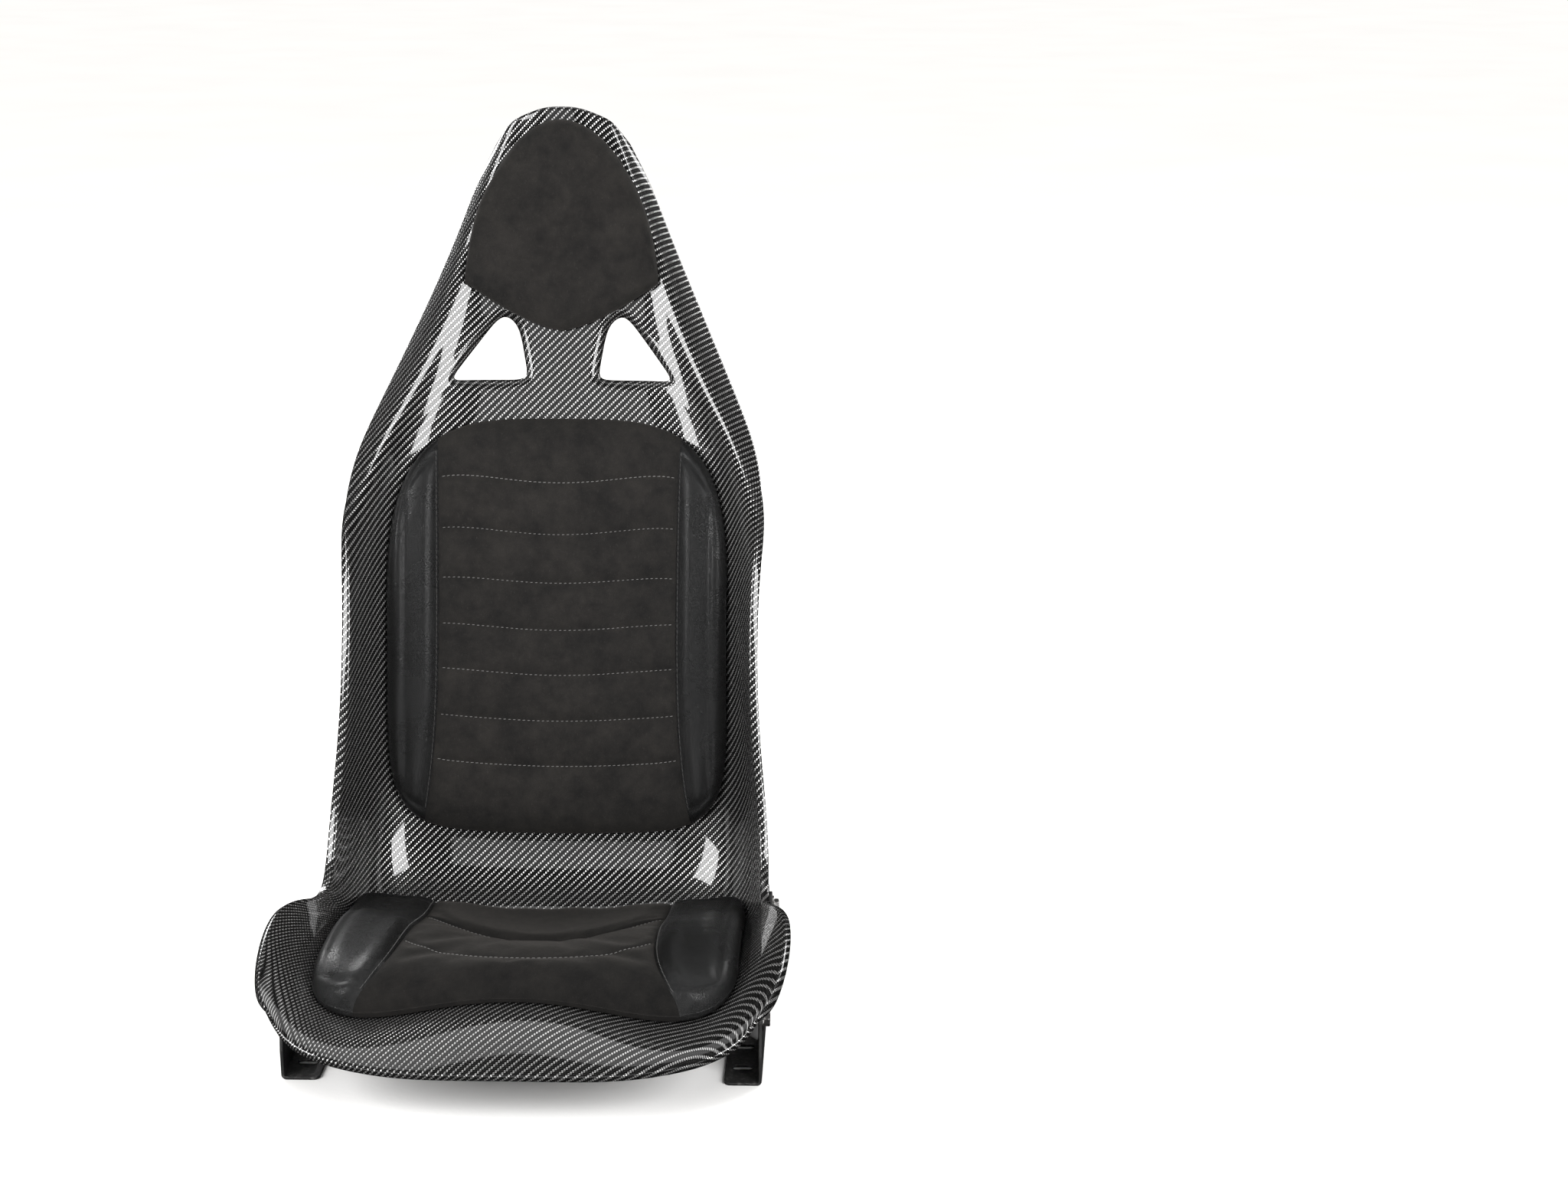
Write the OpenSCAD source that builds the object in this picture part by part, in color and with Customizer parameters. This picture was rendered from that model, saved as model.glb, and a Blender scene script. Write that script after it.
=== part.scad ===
// Fixed-back racing seat: single-skin shell, three loose pads, two steel side brackets.
// Millimetres, +Z up, the seat faces -Y, origin on the floor midway between the four foot slots.

/* [Shell] */
// laminate thickness
shell_t = 3; // [2:0.5:5]
// depth of the turned-back rim
rim_drop = 9; // [5:1:14]
// depth of the turned-back collar round each harness slot
collar_drop = 15; // [8:1:22]

/* [Harness slots] */
// slot centre from the middle of the seat
slot_x = 76; // [70:1:82]
// slot centre above the floor
slot_z = 597; // [585:1:605]
// slot size against nominal
slot_scale = 1; // [0.85:0.01:1.1]

/* [Pads] */
// back pad thickness at the crown
back_pad_t = 26; // [18:1:36]
// head pad thickness at the crown
head_pad_t = 24; // [16:1:34]
// seat cushion thickness at the crown
seat_pad_t = 36; // [24:1:48]
// cover thickness
cover_t = 2.2; // [1.5:0.1:3]
// backing board thickness
board_t = 1.5; // [1:0.1:3]

/* [Hook and loop] */
// thickness of each half of the tape
tape_t = 1.4; // [1:0.1:1.6]

/* [Brackets] */
// steel sheet thickness
plate_t = 3; // [2:0.5:5]
// outer face of each bracket from the middle of the seat
bracket_x = 228; // [227:1:232]
// length of each bracket along the seat
bracket_l = 340; // [330:2:350]
// width of each foot
foot_w = 36; // [32:1:40]
// floor slot length, end to end
foot_slot_l = 20; // [16:1:24]
// floor slot width
foot_slot_w = 9; // [8.5:0.5:11]
// distance between the front and rear floor slots
foot_pitch = 276; // [266:2:286]
// distance between the two slots in each end of a foot
foot_slot_gap = 43; // [36:1:46]

/* [Side bolts] */
// distance of the front pair behind the origin
bolt_front_y = -150; // [-156:1:-144]
// height of the front pair
bolt_front_z = 60; // [56:1:64]
// distance between the pairs
bolt_pitch = 280; // [276:1:284]
// height of the rear pair against the front pair
bolt_rise = -9; // [-12:1:-4]
// thread diameter
bolt_d = 8; // [6:1:10]
// recline the rear slots allow, in degrees
tilt_range = 3.5; // [2:0.5:4]

/* [Hidden] */
$fn = 48;

// Shell stations from the front lip to the top of the head. Each row holds the middle line (y, z),
// the rim (y, z), floor half width and its share of the way to the rim, wall foot half width and
// share, wall or ridge half width and share, rim half width, pommel height and ridge height.
STATIONS = [
  [-267,  60, -212,  92, 108,  0.02, 172,  0.22, 208, 0.55, 226, 0, 0],
  [-248,  72, -196, 102, 108, -0.08, 172,  0.00, 212, 0.42, 236, 3, 0],
  [-216,  86, -170, 111, 106, -0.30, 172, -0.50, 215, 0.25, 242, 8, 0],
  [-168,  89, -136, 119, 106, -0.35, 178, -0.70, 217, 0.36, 246, 8, 0],
  [-102,  70,  -98, 126, 106, -0.05, 182, -0.15, 218, 0.52, 246, 2, 0],
  [ -30,  45,  -58, 129, 106,  0.05, 184,  0.10, 216, 0.60, 242, 0, 0],
  [  45,  24,  -16, 117, 106,  0.05, 185,  0.16, 213, 0.66, 229, 0, 0],
  [ 120,  24,   22,  98, 106,  0.03, 186,  0.15, 210, 0.64, 218, 0, 0],
  [ 168,  76,   62, 110, 108,  0.02, 184,  0.13, 208, 0.60, 218, 0, 0],
  [ 190, 156,   88, 162, 110,  0.02, 180,  0.12, 204, 0.58, 216, 0, 0],
  [ 208, 238,  104, 222, 112,  0.02, 177,  0.12, 199, 0.58, 209, 0, 0],
  [ 230, 318,  124, 296, 114,  0.02, 175,  0.13, 195, 0.60, 204, 0, 0],
  [ 252, 396,  148, 370, 114,  0.02, 173,  0.14, 194, 0.62, 204, 0, 0],
  [ 272, 458,  168, 420, 112,  0.02, 171,  0.16, 196, 0.68, 207, 0, 0],
  [ 290, 516,  200, 468, 108,  0.03, 166,  0.22, 199, 0.84, 214, 0, 2],
  [ 306, 568,  244, 512, 100,  0.05, 152,  0.40, 188, 0.96, 209, 0, 8],
  [ 320, 616,  280, 557,  84,  0.08, 128,  0.48, 162, 0.98, 188, 0, 15],
  [ 332, 662,  308, 603,  70,  0.12, 108,  0.52, 138, 0.96, 166, 0, 20],
  [ 342, 706,  332, 648,  60,  0.16,  92,  0.50, 118, 0.84, 145, 0, 18],
  [ 348, 748,  348, 692,  52,  0.18,  80,  0.46, 102, 0.74, 125, 0, 13],
  [ 352, 787,  360, 735,  44,  0.16,  68,  0.42,  86, 0.66, 107, 0, 9],
  [ 356, 822,  369, 776,  36,  0.14,  56,  0.36,  72, 0.60,  91, 0, 6],
  [ 360, 852,  376, 814,  26,  0.08,  44,  0.28,  58, 0.52,  71, 0, 4]];

NU = len(STATIONS) - 1;
NV = 5;
function along(c, d, k, x, f) = c + d * k + [x, -f, 0.3 * f];
function row(s) =
  let (c = [0, s[0], s[1]], d = [0, s[2] - s[0], s[3] - s[1]], up = [0, 0, s[11]])
  [c + up, along(c, d, 0, s[4] / 2, 0) + up / 2, along(c, d, s[5], s[4], 0),
    along(c, d, s[7], s[6], 0), along(c, d, s[9], s[8], s[12]), along(c, d, 1, s[10], 0)];
function flip(p) = [-p[0], p[1], p[2]];
function widen(r) = concat([flip(r[1])], r, [2 * r[NV] - r[NV - 1]]);
ROWS = [for (s = STATIONS) widen(row(s))];
NET = concat([2 * ROWS[0] - ROWS[1]], ROWS, [2 * ROWS[NU] - ROWS[NU - 1]]);

// Uniform cubic B-spline surface: u runs lip to head, v runs middle (0) to rim (5 or -5).
function bs(t) = [pow(1 - t, 3), 3 * t * t * t - 6 * t * t + 4,
  -3 * t * t * t + 3 * t * t + 3 * t + 1, t * t * t] / 6;
function bd(t) = [-(1 - t) * (1 - t), 3 * t * t - 4 * t, -3 * t * t + 2 * t + 1, t * t] / 2;
function patch(u, v, du, dv) =
  let (a = abs(v), i = min(max(floor(u), 0), NU - 1), j = min(floor(a), NV - 1),
    wu = du > 0 ? bd(u - i) : bs(u - i),
    wv = dv > 0 ? bd(a - j) : bs(a - j),
    p = wu * [for (r = [0:3]) wv * [for (c = [0:3]) NET[i + r][j + c]]])
  v >= 0 ? p : dv > 0 ? [p[0], -p[1], -p[2]] : flip(p);
function unit(p) = p / norm(p);
function at(u, v) = patch(u, v, 0, 0);
function facing(u, v) = unit(cross(patch(u, v, 0, 1), patch(u, v, 1, 0)));
function lift(u, v, h) = at(u, v) + facing(u, v) * h;
function lift2(uv, h) = lift(uv[0], uv[1], h);

// The surface parameters under a point given by x and either y (k = 1) or z (k = 2).
function find(x, s, k, uv, n = 6) =
  n == 0 ? uv :
  let (p = at(uv[0], uv[1]), a = patch(uv[0], uv[1], 1, 0), b = patch(uv[0], uv[1], 0, 1),
    det = b[0] * a[k] - a[0] * b[k], ex = x - p[0], es = s - p[k],
    u = uv[0] + (es * b[0] - ex * b[k]) / det,
    v = uv[1] + (ex * a[k] - es * a[0]) / det)
  find(x, s, k, [min(max(u, 0), NU), min(max(v, -NV), NV)], n - 1);

// A closed solid between two point grids of the same size.
function flat(g) = [for (r = g) for (p = r) p];
function rim_loop(nr, nc) = concat(
  [for (c = [0:nc - 2]) c], [for (r = [0:nr - 2]) r * nc + nc - 1],
  [for (c = [nc - 1:-1:1]) (nr - 1) * nc + c], [for (r = [nr - 1:-1:1]) r * nc]);
function strip(a, b) = let (n = len(a)) [for (i = [0:n - 1])
  [a[i], b[i], b[(i + 1) % n], a[(i + 1) % n]]];
module slab(top, bottom) {
  nr = len(top);
  nc = len(top[0]);
  n = nr * nc;
  loop = rim_loop(nr, nc);
  quads = [for (r = [0:nr - 2]) for (c = [0:nc - 2]) let (i = r * nc + c)
    [i, i + nc, i + nc + 1, i + 1]];
  polyhedron(
    points = concat(flat(top), flat(bottom)),
    faces = concat(
      [for (q = quads) [q[0], q[1], q[2]]],
      [for (q = quads) [q[0], q[2], q[3]]],
      [for (q = quads) [n + q[2], n + q[1], n + q[0]]],
      [for (q = quads) [n + q[3], n + q[2], n + q[0]]],
      split(strip([for (i = loop) n + i], loop))));
}

// Both-sided solids are drawn once on the +X side and mirrored.
module pair() {
  children();
  mirror([1, 0, 0]) children();
}

// ---- Shell ----
US = concat([0, 0.5], [for (i = [4:36]) i / 4], [for (i = [19:2 * NU]) i / 2]);
VS = [for (j = [-15:15]) j / 3];
NR = len(US);
NC = len(VS);
function tangent_out(u, v) =
  let (a = patch(u, v, 1, 0), b = patch(u, v, 0, 1), ta = unit(a), tb = unit(b),
    oa = unit(a - (a * tb) * tb), ob = unit(b - (b * ta) * ta),
    ku = u <= 0 ? -1 : u >= NU ? 1 : 0, kv = v >= NV ? 1 : v <= -NV ? -1 : 0)
  unit(ku * oa + kv * ob);
function rim_pt(u, v, o, h) = lift(u, v, h) + tangent_out(u, v) * o;

// Slot outline: a soft-cornered polygon, each side given by its direction and its distance.
SLOT_SIDES = [[0, -1, 22], [0.8, 0.6, 19.4], [-0.985, 0.175, 35], [-0.3, 0.954, 46]];
function soft_radius(sides, a, p) = let (d = [cos(a), sin(a)])
  pow([for (s = sides) pow(max(0, (d * [s[0], s[1]]) / s[2]), p)] * [for (s = sides) 1], -1 / p);
function slot_pt(a, grow, h) = let (r = slot_scale * soft_radius(SLOT_SIDES, a, 6) + grow,
    x = slot_x + r * cos(a), z = slot_z + r * sin(a))
  lift2(find(x, z, 2, guess(x, z, 2)), h);
function guess(x, s, k) = k == 1 ? [3 + (s + 168) / 68, x / 55]
  : [s < 516 ? 9 + (s - 156) / 72 : 14 + (s - 516) / 46, x / 50];

// Grid cells that the slot takes out, on the +X side, and the loops that fill them.
HOLE = [45, 51, 16, 25];
HOLE_LOOP = concat(
  [for (c = [HOLE[2]:HOLE[3] - 1]) [HOLE[0], c]], [for (r = [HOLE[0]:HOLE[1] - 1]) [r, HOLE[3]]],
  [for (c = [HOLE[3]:-1:HOLE[2] + 1]) [HOLE[1], c]], [for (r = [HOLE[1]:-1:HOLE[0] + 1]) [r, HOLE[2]]]);
HN = len(HOLE_LOOP);
HOLE_ANGLES = [for (q = HOLE_LOOP) let (p = at(US[q[0]], VS[q[1]]))
  atan2(p[2] - slot_z, p[0] - slot_x)];
function between(a, b, k, h) = lift(a[0] * (1 - k) + b[0] * k, a[1] * (1 - k) + b[1] * k, h);
function blend_ring(h) = [for (i = [0:HN - 1]) let (q = HOLE_LOOP[i], a = HOLE_ANGLES[i],
    r = slot_scale * soft_radius(SLOT_SIDES, a, 6) + 9,
    x = slot_x + r * cos(a), z = slot_z + r * sin(a))
  between([US[q[0]], VS[q[1]]], find(x, z, 2, guess(x, z, 2)), 0.5, h)];
function slot_ring(grow, h) = [for (a = HOLE_ANGLES) slot_pt(a, grow, h)];
function in_hole(r, c) = r >= HOLE[0] && r < HOLE[1]
  && ((c >= HOLE[2] && c < HOLE[3]) || (NC - 2 - c >= HOLE[2] && NC - 2 - c < HOLE[3]));
function turned(list) = [for (i = [len(list) - 1:-1:0]) list[i]];

module shell_body() {
  front = [for (u = US) for (v = VS) at(u, v)];
  back = [for (u = US) for (v = VS) lift(u, v, -shell_t)];
  n = NR * NC;
  quads = [for (r = [0:NR - 2]) for (c = [0:NC - 2]) if (!in_hole(r, c)) let (i = r * NC + c)
    [i, i + NC, i + NC + 1, i + 1]];
  loop = rim_loop(NR, NC);
  m = len(loop);
  edge = [for (oh = [[2, -0.8], [3, -3], [3, -rim_drop], [0.2, -rim_drop], [0, -shell_t - 1.4]])
    [for (i = loop) rim_pt(US[floor(i / NC)], VS[i % NC], oh[0], oh[1])]];
  edge_ids = concat([loop], [for (k = [0:4]) [for (i = [0:m - 1]) 2 * n + k * m + i]],
    [[for (i = loop) n + i]]);
  rings = concat([blend_ring(0)],
    [for (gh = [[9, 0], [4, -0.6], [1.2, -2.6], [0, -6], [0, -collar_drop], [3, -collar_drop],
      [3.2, -7.5], [5, -4.6], [10, -shell_t]]) slot_ring(gh[0], gh[1])],
    [blend_ring(-shell_t)]);
  nrings = len(rings);
  base = 2 * n + 5 * m;
  first = [for (q = HOLE_LOOP) q[0] * NC + q[1]];
  right_ids = concat([first], [for (k = [0:nrings - 1]) [for (i = [0:HN - 1]) base + k * HN + i]],
    [[for (i = first) n + i]]);
  mirrored = [for (q = HOLE_LOOP) q[0] * NC + NC - 1 - q[1]];
  base2 = base + nrings * HN;
  left_ids = concat([mirrored], [for (k = [0:nrings - 1]) [for (i = [0:HN - 1]) base2 + k * HN + i]],
    [[for (i = mirrored) n + i]]);
  polyhedron(
    points = concat(front, back, flat(edge), flat(rings), [for (p = flat(rings)) flip(p)]),
    faces = concat(
      [for (q = quads) [q[0], q[1], q[2]]],
      [for (q = quads) [q[0], q[2], q[3]]],
      [for (q = quads) [n + q[2], n + q[1], n + q[0]]],
      [for (q = quads) [n + q[3], n + q[2], n + q[0]]],
      flat([for (k = [0:5]) split(strip(edge_ids[k + 1], edge_ids[k]))]),
      flat([for (k = [0:nrings]) split(strip(right_ids[k], right_ids[k + 1]))]),
      flat([for (k = [0:nrings]) split(strip(left_ids[k + 1], left_ids[k]))])));
}
function split(quads) = flat([for (q = quads) [[q[0], q[1], q[2]], [q[0], q[2], q[3]]]]);

// ---- Pads ----
// Each pad covers the part of the shell between two curves, over x from -W to W.
HEAD = 0;
BACK = 1;
SEAT = 2;
AXIS = [2, 2, 1];
WIDTH = [103, 180, 204];
THICK = [head_pad_t, back_pad_t, seat_pad_t];
function fall(x, p) = pow(max(0, 1 - pow(abs(x), p)), 1 / p);
function pad_lo(k, a) = k == HEAD ? 624 + 50 * pow(abs(a), 1.5)
  : k == BACK ? 322 - 211 * fall(a, 6) + 8 * a * a : -32 - 162 * fall(a, 6);
function pad_hi(k, a) = k == HEAD ? 674 + 168 * pow(max(0, 1 - pow(abs(a), 1.9)), 1 / 1.6)
  : k == BACK ? 322 + 213 * fall(a, 3.8) : -32 + 156 * fall(a, 7);
function pad_uv(k, a, t) = let (lo = pad_lo(k, a), hi = pad_hi(k, a),
    s = (lo + hi) / 2 + t * (hi - lo) / 2, x = a * WIDTH[k])
  find(x, s, AXIS[k], guess(x, s, AXIS[k]));
// Thickness runs between the shell's own normal and the direction the pad faces.
FACE = [[0, -0.97, 0.24], [0, -0.96, 0.28], [0, -0.05, 1]];
SHARE = [0.3, 0.55, 0.85];
function pad_pt(k, a, t, h) = let (uv = pad_uv(k, a, t), n = facing(uv[0], uv[1]))
  at(uv[0], uv[1]) + unit(n * (1 - SHARE[k]) + FACE[k] * SHARE[k]) * h;
function dome(a, t) = pow(max(0, (1 - pow(abs(a), 9)) * (1 - pow(abs(t), 9))), 0.42);
// extra height of the seat cushion's sides and of its middle front
function swell(k, a, t) = k == SEAT ? 0.55 * pow(sin(90 * min(1, abs(a) / 0.8)), 2) * (1 - 0.8 * t * t - 0.55 * max(0, t))
  : k == BACK ? 0.16 * pow(sin(90 * min(1, abs(a) / 0.85)), 4) - 0.05 : 0.12 * (0.5 - abs(a));
function pad_h(k, a, t, drop) = pad_edge + (THICK[k] * (1 + swell(k, a, t)) - drop) * dome(a, t);
pad_edge = 1.2;
function spread(n, lim) = [for (i = [-n:n]) sin(90 * i / n) * lim];
function even(n, lim) = [for (i = [-n:n]) (sin(90 * i / n) + 1.5 * i / n) / 2.5 * lim];
function spans(a0, a1, n) = [for (i = [0:n]) a0 + (a1 - a0) * i / n];
function side_spans(a0, a1, n) = [for (i = [0:n]) a0 + (a1 - a0) * sin(90 * i / n)];
SEAM = [1, 0.7, 0.62];
function seam_at(k, t) = SEAM[k] + (k == BACK ? (t < 0 ? 0.09 * pow(-t, 2.4) : 0.02 * t * t)
  : 0.2 * pow((1 - t) / 2, 5));

module cover_part(k, a_of, nt) {
  // a_of is a list of [a, inset share] for every row
  ts = spread(nt, 0.995);
  slab(
    [for (i = [0:len(ts) - 1]) [for (q = a_of[i]) pad_pt(k, q[0], ts[i], pad_h(k, q[0], ts[i], 0))]],
    [for (i = [0:len(ts) - 1]) [for (q = a_of[i])
      pad_pt(k, q[0] * (1 - q[1] * cover_t / WIDTH[k]), ts[i] * 0.985,
        pad_h(k, q[0], ts[i], cover_t))]]);
}
module cover_whole(k, na, nt) {
  cover_part(k, [for (t = spread(nt, 0.995)) [for (a = spread(na, 0.995)) [a, 1]]], nt);
}
module cover_centre(k, na, nt) {
  cover_part(k, [for (t = spread(nt, 0.995)) let (s = seam_at(k, t) - 0.0015)
    [for (a = spans(-s, s, na)) [a, 0]]], nt);
}
module cover_side(k, na, nt) {
  cover_part(k, [for (t = spread(nt, 0.995)) let (s = seam_at(k, t) + 0.0015)
    [for (a = side_spans(s, 0.995, na)) [a, (a - s) / (0.995 - s)]]], nt);
}
module foam(k, na, nt) {
  f = k == HEAD ? 0.89 : 0.955;
  gap = k == HEAD ? 2 : 1.2;
  slab(
    [for (t = even(nt, 1)) [for (a = even(na, 1))
      pad_pt(k, a * f, t * f, max(board_h + board_t + 3.6,
        pad_h(k, a * f / 0.975, t * f / 0.975, cover_t + gap)))]],
    [for (t = even(nt, 1)) [for (a = even(na, 1)) pad_pt(k, a * f, t * f, board_h + board_t + 2.6)]]);
}
board_h = 2 * tape_t + 2;
module sheet(k, a0, a1, t0, t1, na, nt, h0, h1) {
  ts = spans(t0, t1, nt);
  as = spans(a0, a1, na);
  slab(
    [for (t = ts) [for (a = as) pad_pt(k, a, t, h1)]],
    [for (t = ts) [for (a = as) pad_pt(k, a, t, h0)]]);
}
module board(k, na, nt) {
  f = k == HEAD ? 0.88 : 0.92;
  sheet(k, -f, f, -f, f, na, nt, board_h, board_h + board_t - 0.05);
}
// Tape places on each pad: [a0, a1, t0, t1]
TAPES = [[[-0.55, 0.55, 0.25, 0.5], [-0.55, 0.55, -0.6, -0.35]],
  [[-0.6, 0.6, 0.62, 0.76], [-0.6, 0.6, -0.07, 0.07], [-0.6, 0.6, -0.76, -0.62]],
  [[-0.6, 0.6, 0.4, 0.56], [-0.6, 0.6, -0.5, -0.34]]];
module hooks(k) {
  for (q = TAPES[k]) sheet(k, q[0], q[1], q[2], q[3], 12, 3, 0.9, 0.9 + tape_t);
}
module loops(k) {
  for (q = TAPES[k]) sheet(k, q[0], q[1], q[2], q[3], 12, 3, tape_t + 1.25, 2 * tape_t + 1.25);
}

// ---- Side mounting ----
bolt_rear_y = bolt_front_y + bolt_pitch;
bolt_rear_z = bolt_front_z + bolt_rise;
swing_r = norm([bolt_pitch, bolt_rise]);
swing_a = atan2(bolt_rise, bolt_pitch);
plate_in = bracket_x - plate_t;
head_gap = 0.3;
// Y, Z profile extruded along X from x0
module across(x0, t) {
  translate([x0, 0, 0]) rotate([90, 0, 90]) linear_extrude(t) children();
}
module rod(x0, x1, y, z, r, sides = 48) {
  translate([x0, y, z]) rotate([90, 0, 90]) cylinder(r = r, h = x1 - x0, $fn = sides);
}
module at_bolts(front, rear) {
  if (front) translate([0, bolt_front_y, bolt_front_z]) children();
  if (rear) translate([0, bolt_rear_y, bolt_rear_z]) children();
}
module mount_pad(u0, u1, v0, v1, y, z, hy, hz0, hz1) {
  n = 7;
  face = plate_in - head_gap - 0.1;
  difference() {
    slab(
      [for (u = spans(u0, u1, n)) [for (v = spans(v0, v1, n)) lift(u, v, -shell_t - 0.7)]],
      [for (i = [0:n]) [for (j = [0:n]) [face, y - hy + 2 * hy * i / n, z - hz0 + (hz0 + hz1) * j / n]]]);
    rod(face - 16, face + 1, y, z, 9.05);
  }
}
module front_mount_pad() {
  mount_pad(3.1, 4.1, 2.9, 4.1, bolt_front_y, bolt_front_z, 19, 16, 30);
}
module rear_mount_pad() {
  mount_pad(6.8, 7.7, 2.9, 4.1, bolt_rear_y, bolt_rear_z, 20, 15, 19);
}
module collar() {
  face = plate_in - head_gap - 0.1;
  difference() {
    rod(face - 14, face, 0, 0, 9);
    rod(face - 12, face + 1, 0, 0, bolt_d / 2 + 0.05);
  }
}
module bolt() {
  washer_face = bracket_x + head_gap + 1.6;
  difference() {
    union() {
      rod(plate_in - 10, washer_face, 0, 0, bolt_d / 2);
      rod(washer_face, washer_face + 5.3, 0, 0, 13 / 2 / cos(30), 6);
    }
    rod(washer_face + 4.6, washer_face + 6, 0, 0, 4.6);
  }
}
module washer() {
  difference() {
    rod(bracket_x + head_gap, bracket_x + head_gap + 1.6, 0, 0, 10.5);
    rod(bracket_x, bracket_x + 3, 0, 0, bolt_d / 2 + 0.1);
  }
}
// Side plate outline in Y, Z
module plate_outline() {
  h = bracket_l / 2;
  difference() {
    union() {
      polygon([[-h, 0], [h, 0], [h, 30], [bolt_rear_y + 24, bolt_rear_z - 8], [bolt_rear_y + 15, bolt_rear_z],
        [bolt_rear_y - 15, bolt_rear_z], [bolt_rear_y - 34, 38], [-78, 38],
        [bolt_front_y + 15, bolt_front_z], [bolt_front_y - 15, bolt_front_z], [-h, 30]]);
      for (p = [[bolt_front_y, bolt_front_z], [bolt_rear_y, bolt_rear_z]])
        translate(p) circle(r = 15);
    }
    for (y = [-58, 14]) translate([y, 21]) slot2(52, 14);
  }
}
module slot2(l, w) {
  square([l - w, w], center = true);
  for (s = [-1, 1]) translate([s * (l - w) / 2, 0]) circle(r = w / 2);
}
module tilt_slot() {
  r = bolt_d / 2 + 0.4;
  translate([bracket_x - plate_t - 1, bolt_front_y, bolt_front_z]) rotate([90, 0, 90]) rotate([0, 0, swing_a]) {
    rotate([0, 0, -tilt_range]) rotate_extrude(angle = tilt_range)
      translate([swing_r - r, 0]) square([2 * r, plate_t + 2]);
    for (a = [0, -tilt_range]) rotate([0, 0, a]) translate([swing_r, 0, 0])
      cylinder(r = r, h = plate_t + 2);
  }
}
foot_x = bracket_x - plate_t - (foot_w - plate_t) / 2;
module foot_slots() {
  for (s = [-1, 1]) for (d = [0, foot_slot_gap]) translate([foot_x, s * (foot_pitch / 2 - d), -1])
    linear_extrude(plate_t + 2) slot2(foot_slot_l, foot_slot_w);
}
bend_r = 5;
module bracket() {
  difference() {
    union() {
      intersection() {
        across(plate_in, plate_t) plate_outline();
        translate([plate_in - 1, -bracket_l / 2 - 1, bend_r]) cube([plate_t + 2, bracket_l + 2, 300]);
      }
      translate([bracket_x - foot_w, -bracket_l / 2, 0]) cube([foot_w - bend_r, bracket_l, plate_t]);
      translate([bracket_x - bend_r, bracket_l / 2, bend_r]) rotate([90, 0, 0]) bend();
    }
    foot_slots();
    tilt_slot();
    rod(plate_in - 1, bracket_x + 1, bolt_front_y, bolt_front_z, bolt_d / 2 + 0.08);
  }
}
module bend() {
  linear_extrude(bracket_l) intersection() {
    difference() {
      circle(r = bend_r);
      circle(r = bend_r - plate_t);
    }
    translate([0, -bend_r]) square(bend_r);
  }
}

// ---- Nodes ----
module shell() color([0.1, 0.1, 0.11]) shell_body();
module mount_pads() color([0.12, 0.12, 0.13]) pair() { front_mount_pad(); rear_mount_pad(); }
module threaded_collars() color([0.6, 0.6, 0.62]) pair() at_bolts(true, true) collar();
module hook_strips_head() color([0.05, 0.05, 0.05]) hooks(HEAD);
module hook_strips_back() color([0.05, 0.05, 0.05]) hooks(BACK);
module hook_strips_seat() color([0.05, 0.05, 0.05]) hooks(SEAT);
module right_bracket() color([0.08, 0.08, 0.08]) bracket();
module left_bracket() color([0.08, 0.08, 0.08]) mirror([1, 0, 0]) bracket();
module front_bolts() color([0.75, 0.75, 0.77]) pair() at_bolts(true, false) bolt();
module rear_bolts() color([0.75, 0.75, 0.77]) pair() at_bolts(false, true) bolt();
module front_washers() color([0.75, 0.75, 0.77]) pair() at_bolts(true, false) washer();
module rear_washers() color([0.75, 0.75, 0.77]) pair() at_bolts(false, true) washer();
module head_cover() color([0.16, 0.16, 0.16]) cover_whole(HEAD, 7, 7);
module head_foam() color([0.7, 0.68, 0.6]) foam(HEAD, 7, 7);
module head_board() color([0.2, 0.2, 0.2]) board(HEAD, 8, 8);
module head_loop_strips() color([0.1, 0.1, 0.1]) loops(HEAD);
module back_cover_centre() color([0.16, 0.16, 0.16]) cover_centre(BACK, 10, 9);
module back_cover_right() color([0.22, 0.22, 0.23]) cover_side(BACK, 6, 9);
module back_cover_left() color([0.22, 0.22, 0.23]) mirror([1, 0, 0]) cover_side(BACK, 6, 9);
module back_foam() color([0.7, 0.68, 0.6]) foam(BACK, 9, 8);
module back_board() color([0.2, 0.2, 0.2]) board(BACK, 10, 10);
module back_loop_strips() color([0.1, 0.1, 0.1]) loops(BACK);
module seat_cover_centre() color([0.16, 0.16, 0.16]) cover_centre(SEAT, 12, 9);
module seat_cover_right() color([0.22, 0.22, 0.23]) cover_side(SEAT, 6, 9);
module seat_cover_left() color([0.22, 0.22, 0.23]) mirror([1, 0, 0]) cover_side(SEAT, 6, 9);
module seat_foam() color([0.7, 0.68, 0.6]) foam(SEAT, 9, 8);
module seat_board() color([0.2, 0.2, 0.2]) board(SEAT, 14, 12);
module seat_loop_strips() color([0.1, 0.1, 0.1]) loops(SEAT);

shell();
mount_pads();
threaded_collars();
hook_strips_head();
hook_strips_back();
hook_strips_seat();
left_bracket();
right_bracket();
front_bolts();
rear_bolts();
front_washers();
rear_washers();
head_cover();
head_foam();
head_board();
head_loop_strips();
back_cover_centre();
back_cover_left();
back_cover_right();
back_foam();
back_board();
back_loop_strips();
seat_cover_centre();
seat_cover_left();
seat_cover_right();
seat_foam();
seat_board();
seat_loop_strips();
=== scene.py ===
"""Looks of the racing seat: glossy twill laminate shell, three soft pads, steel side brackets."""
import math

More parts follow.
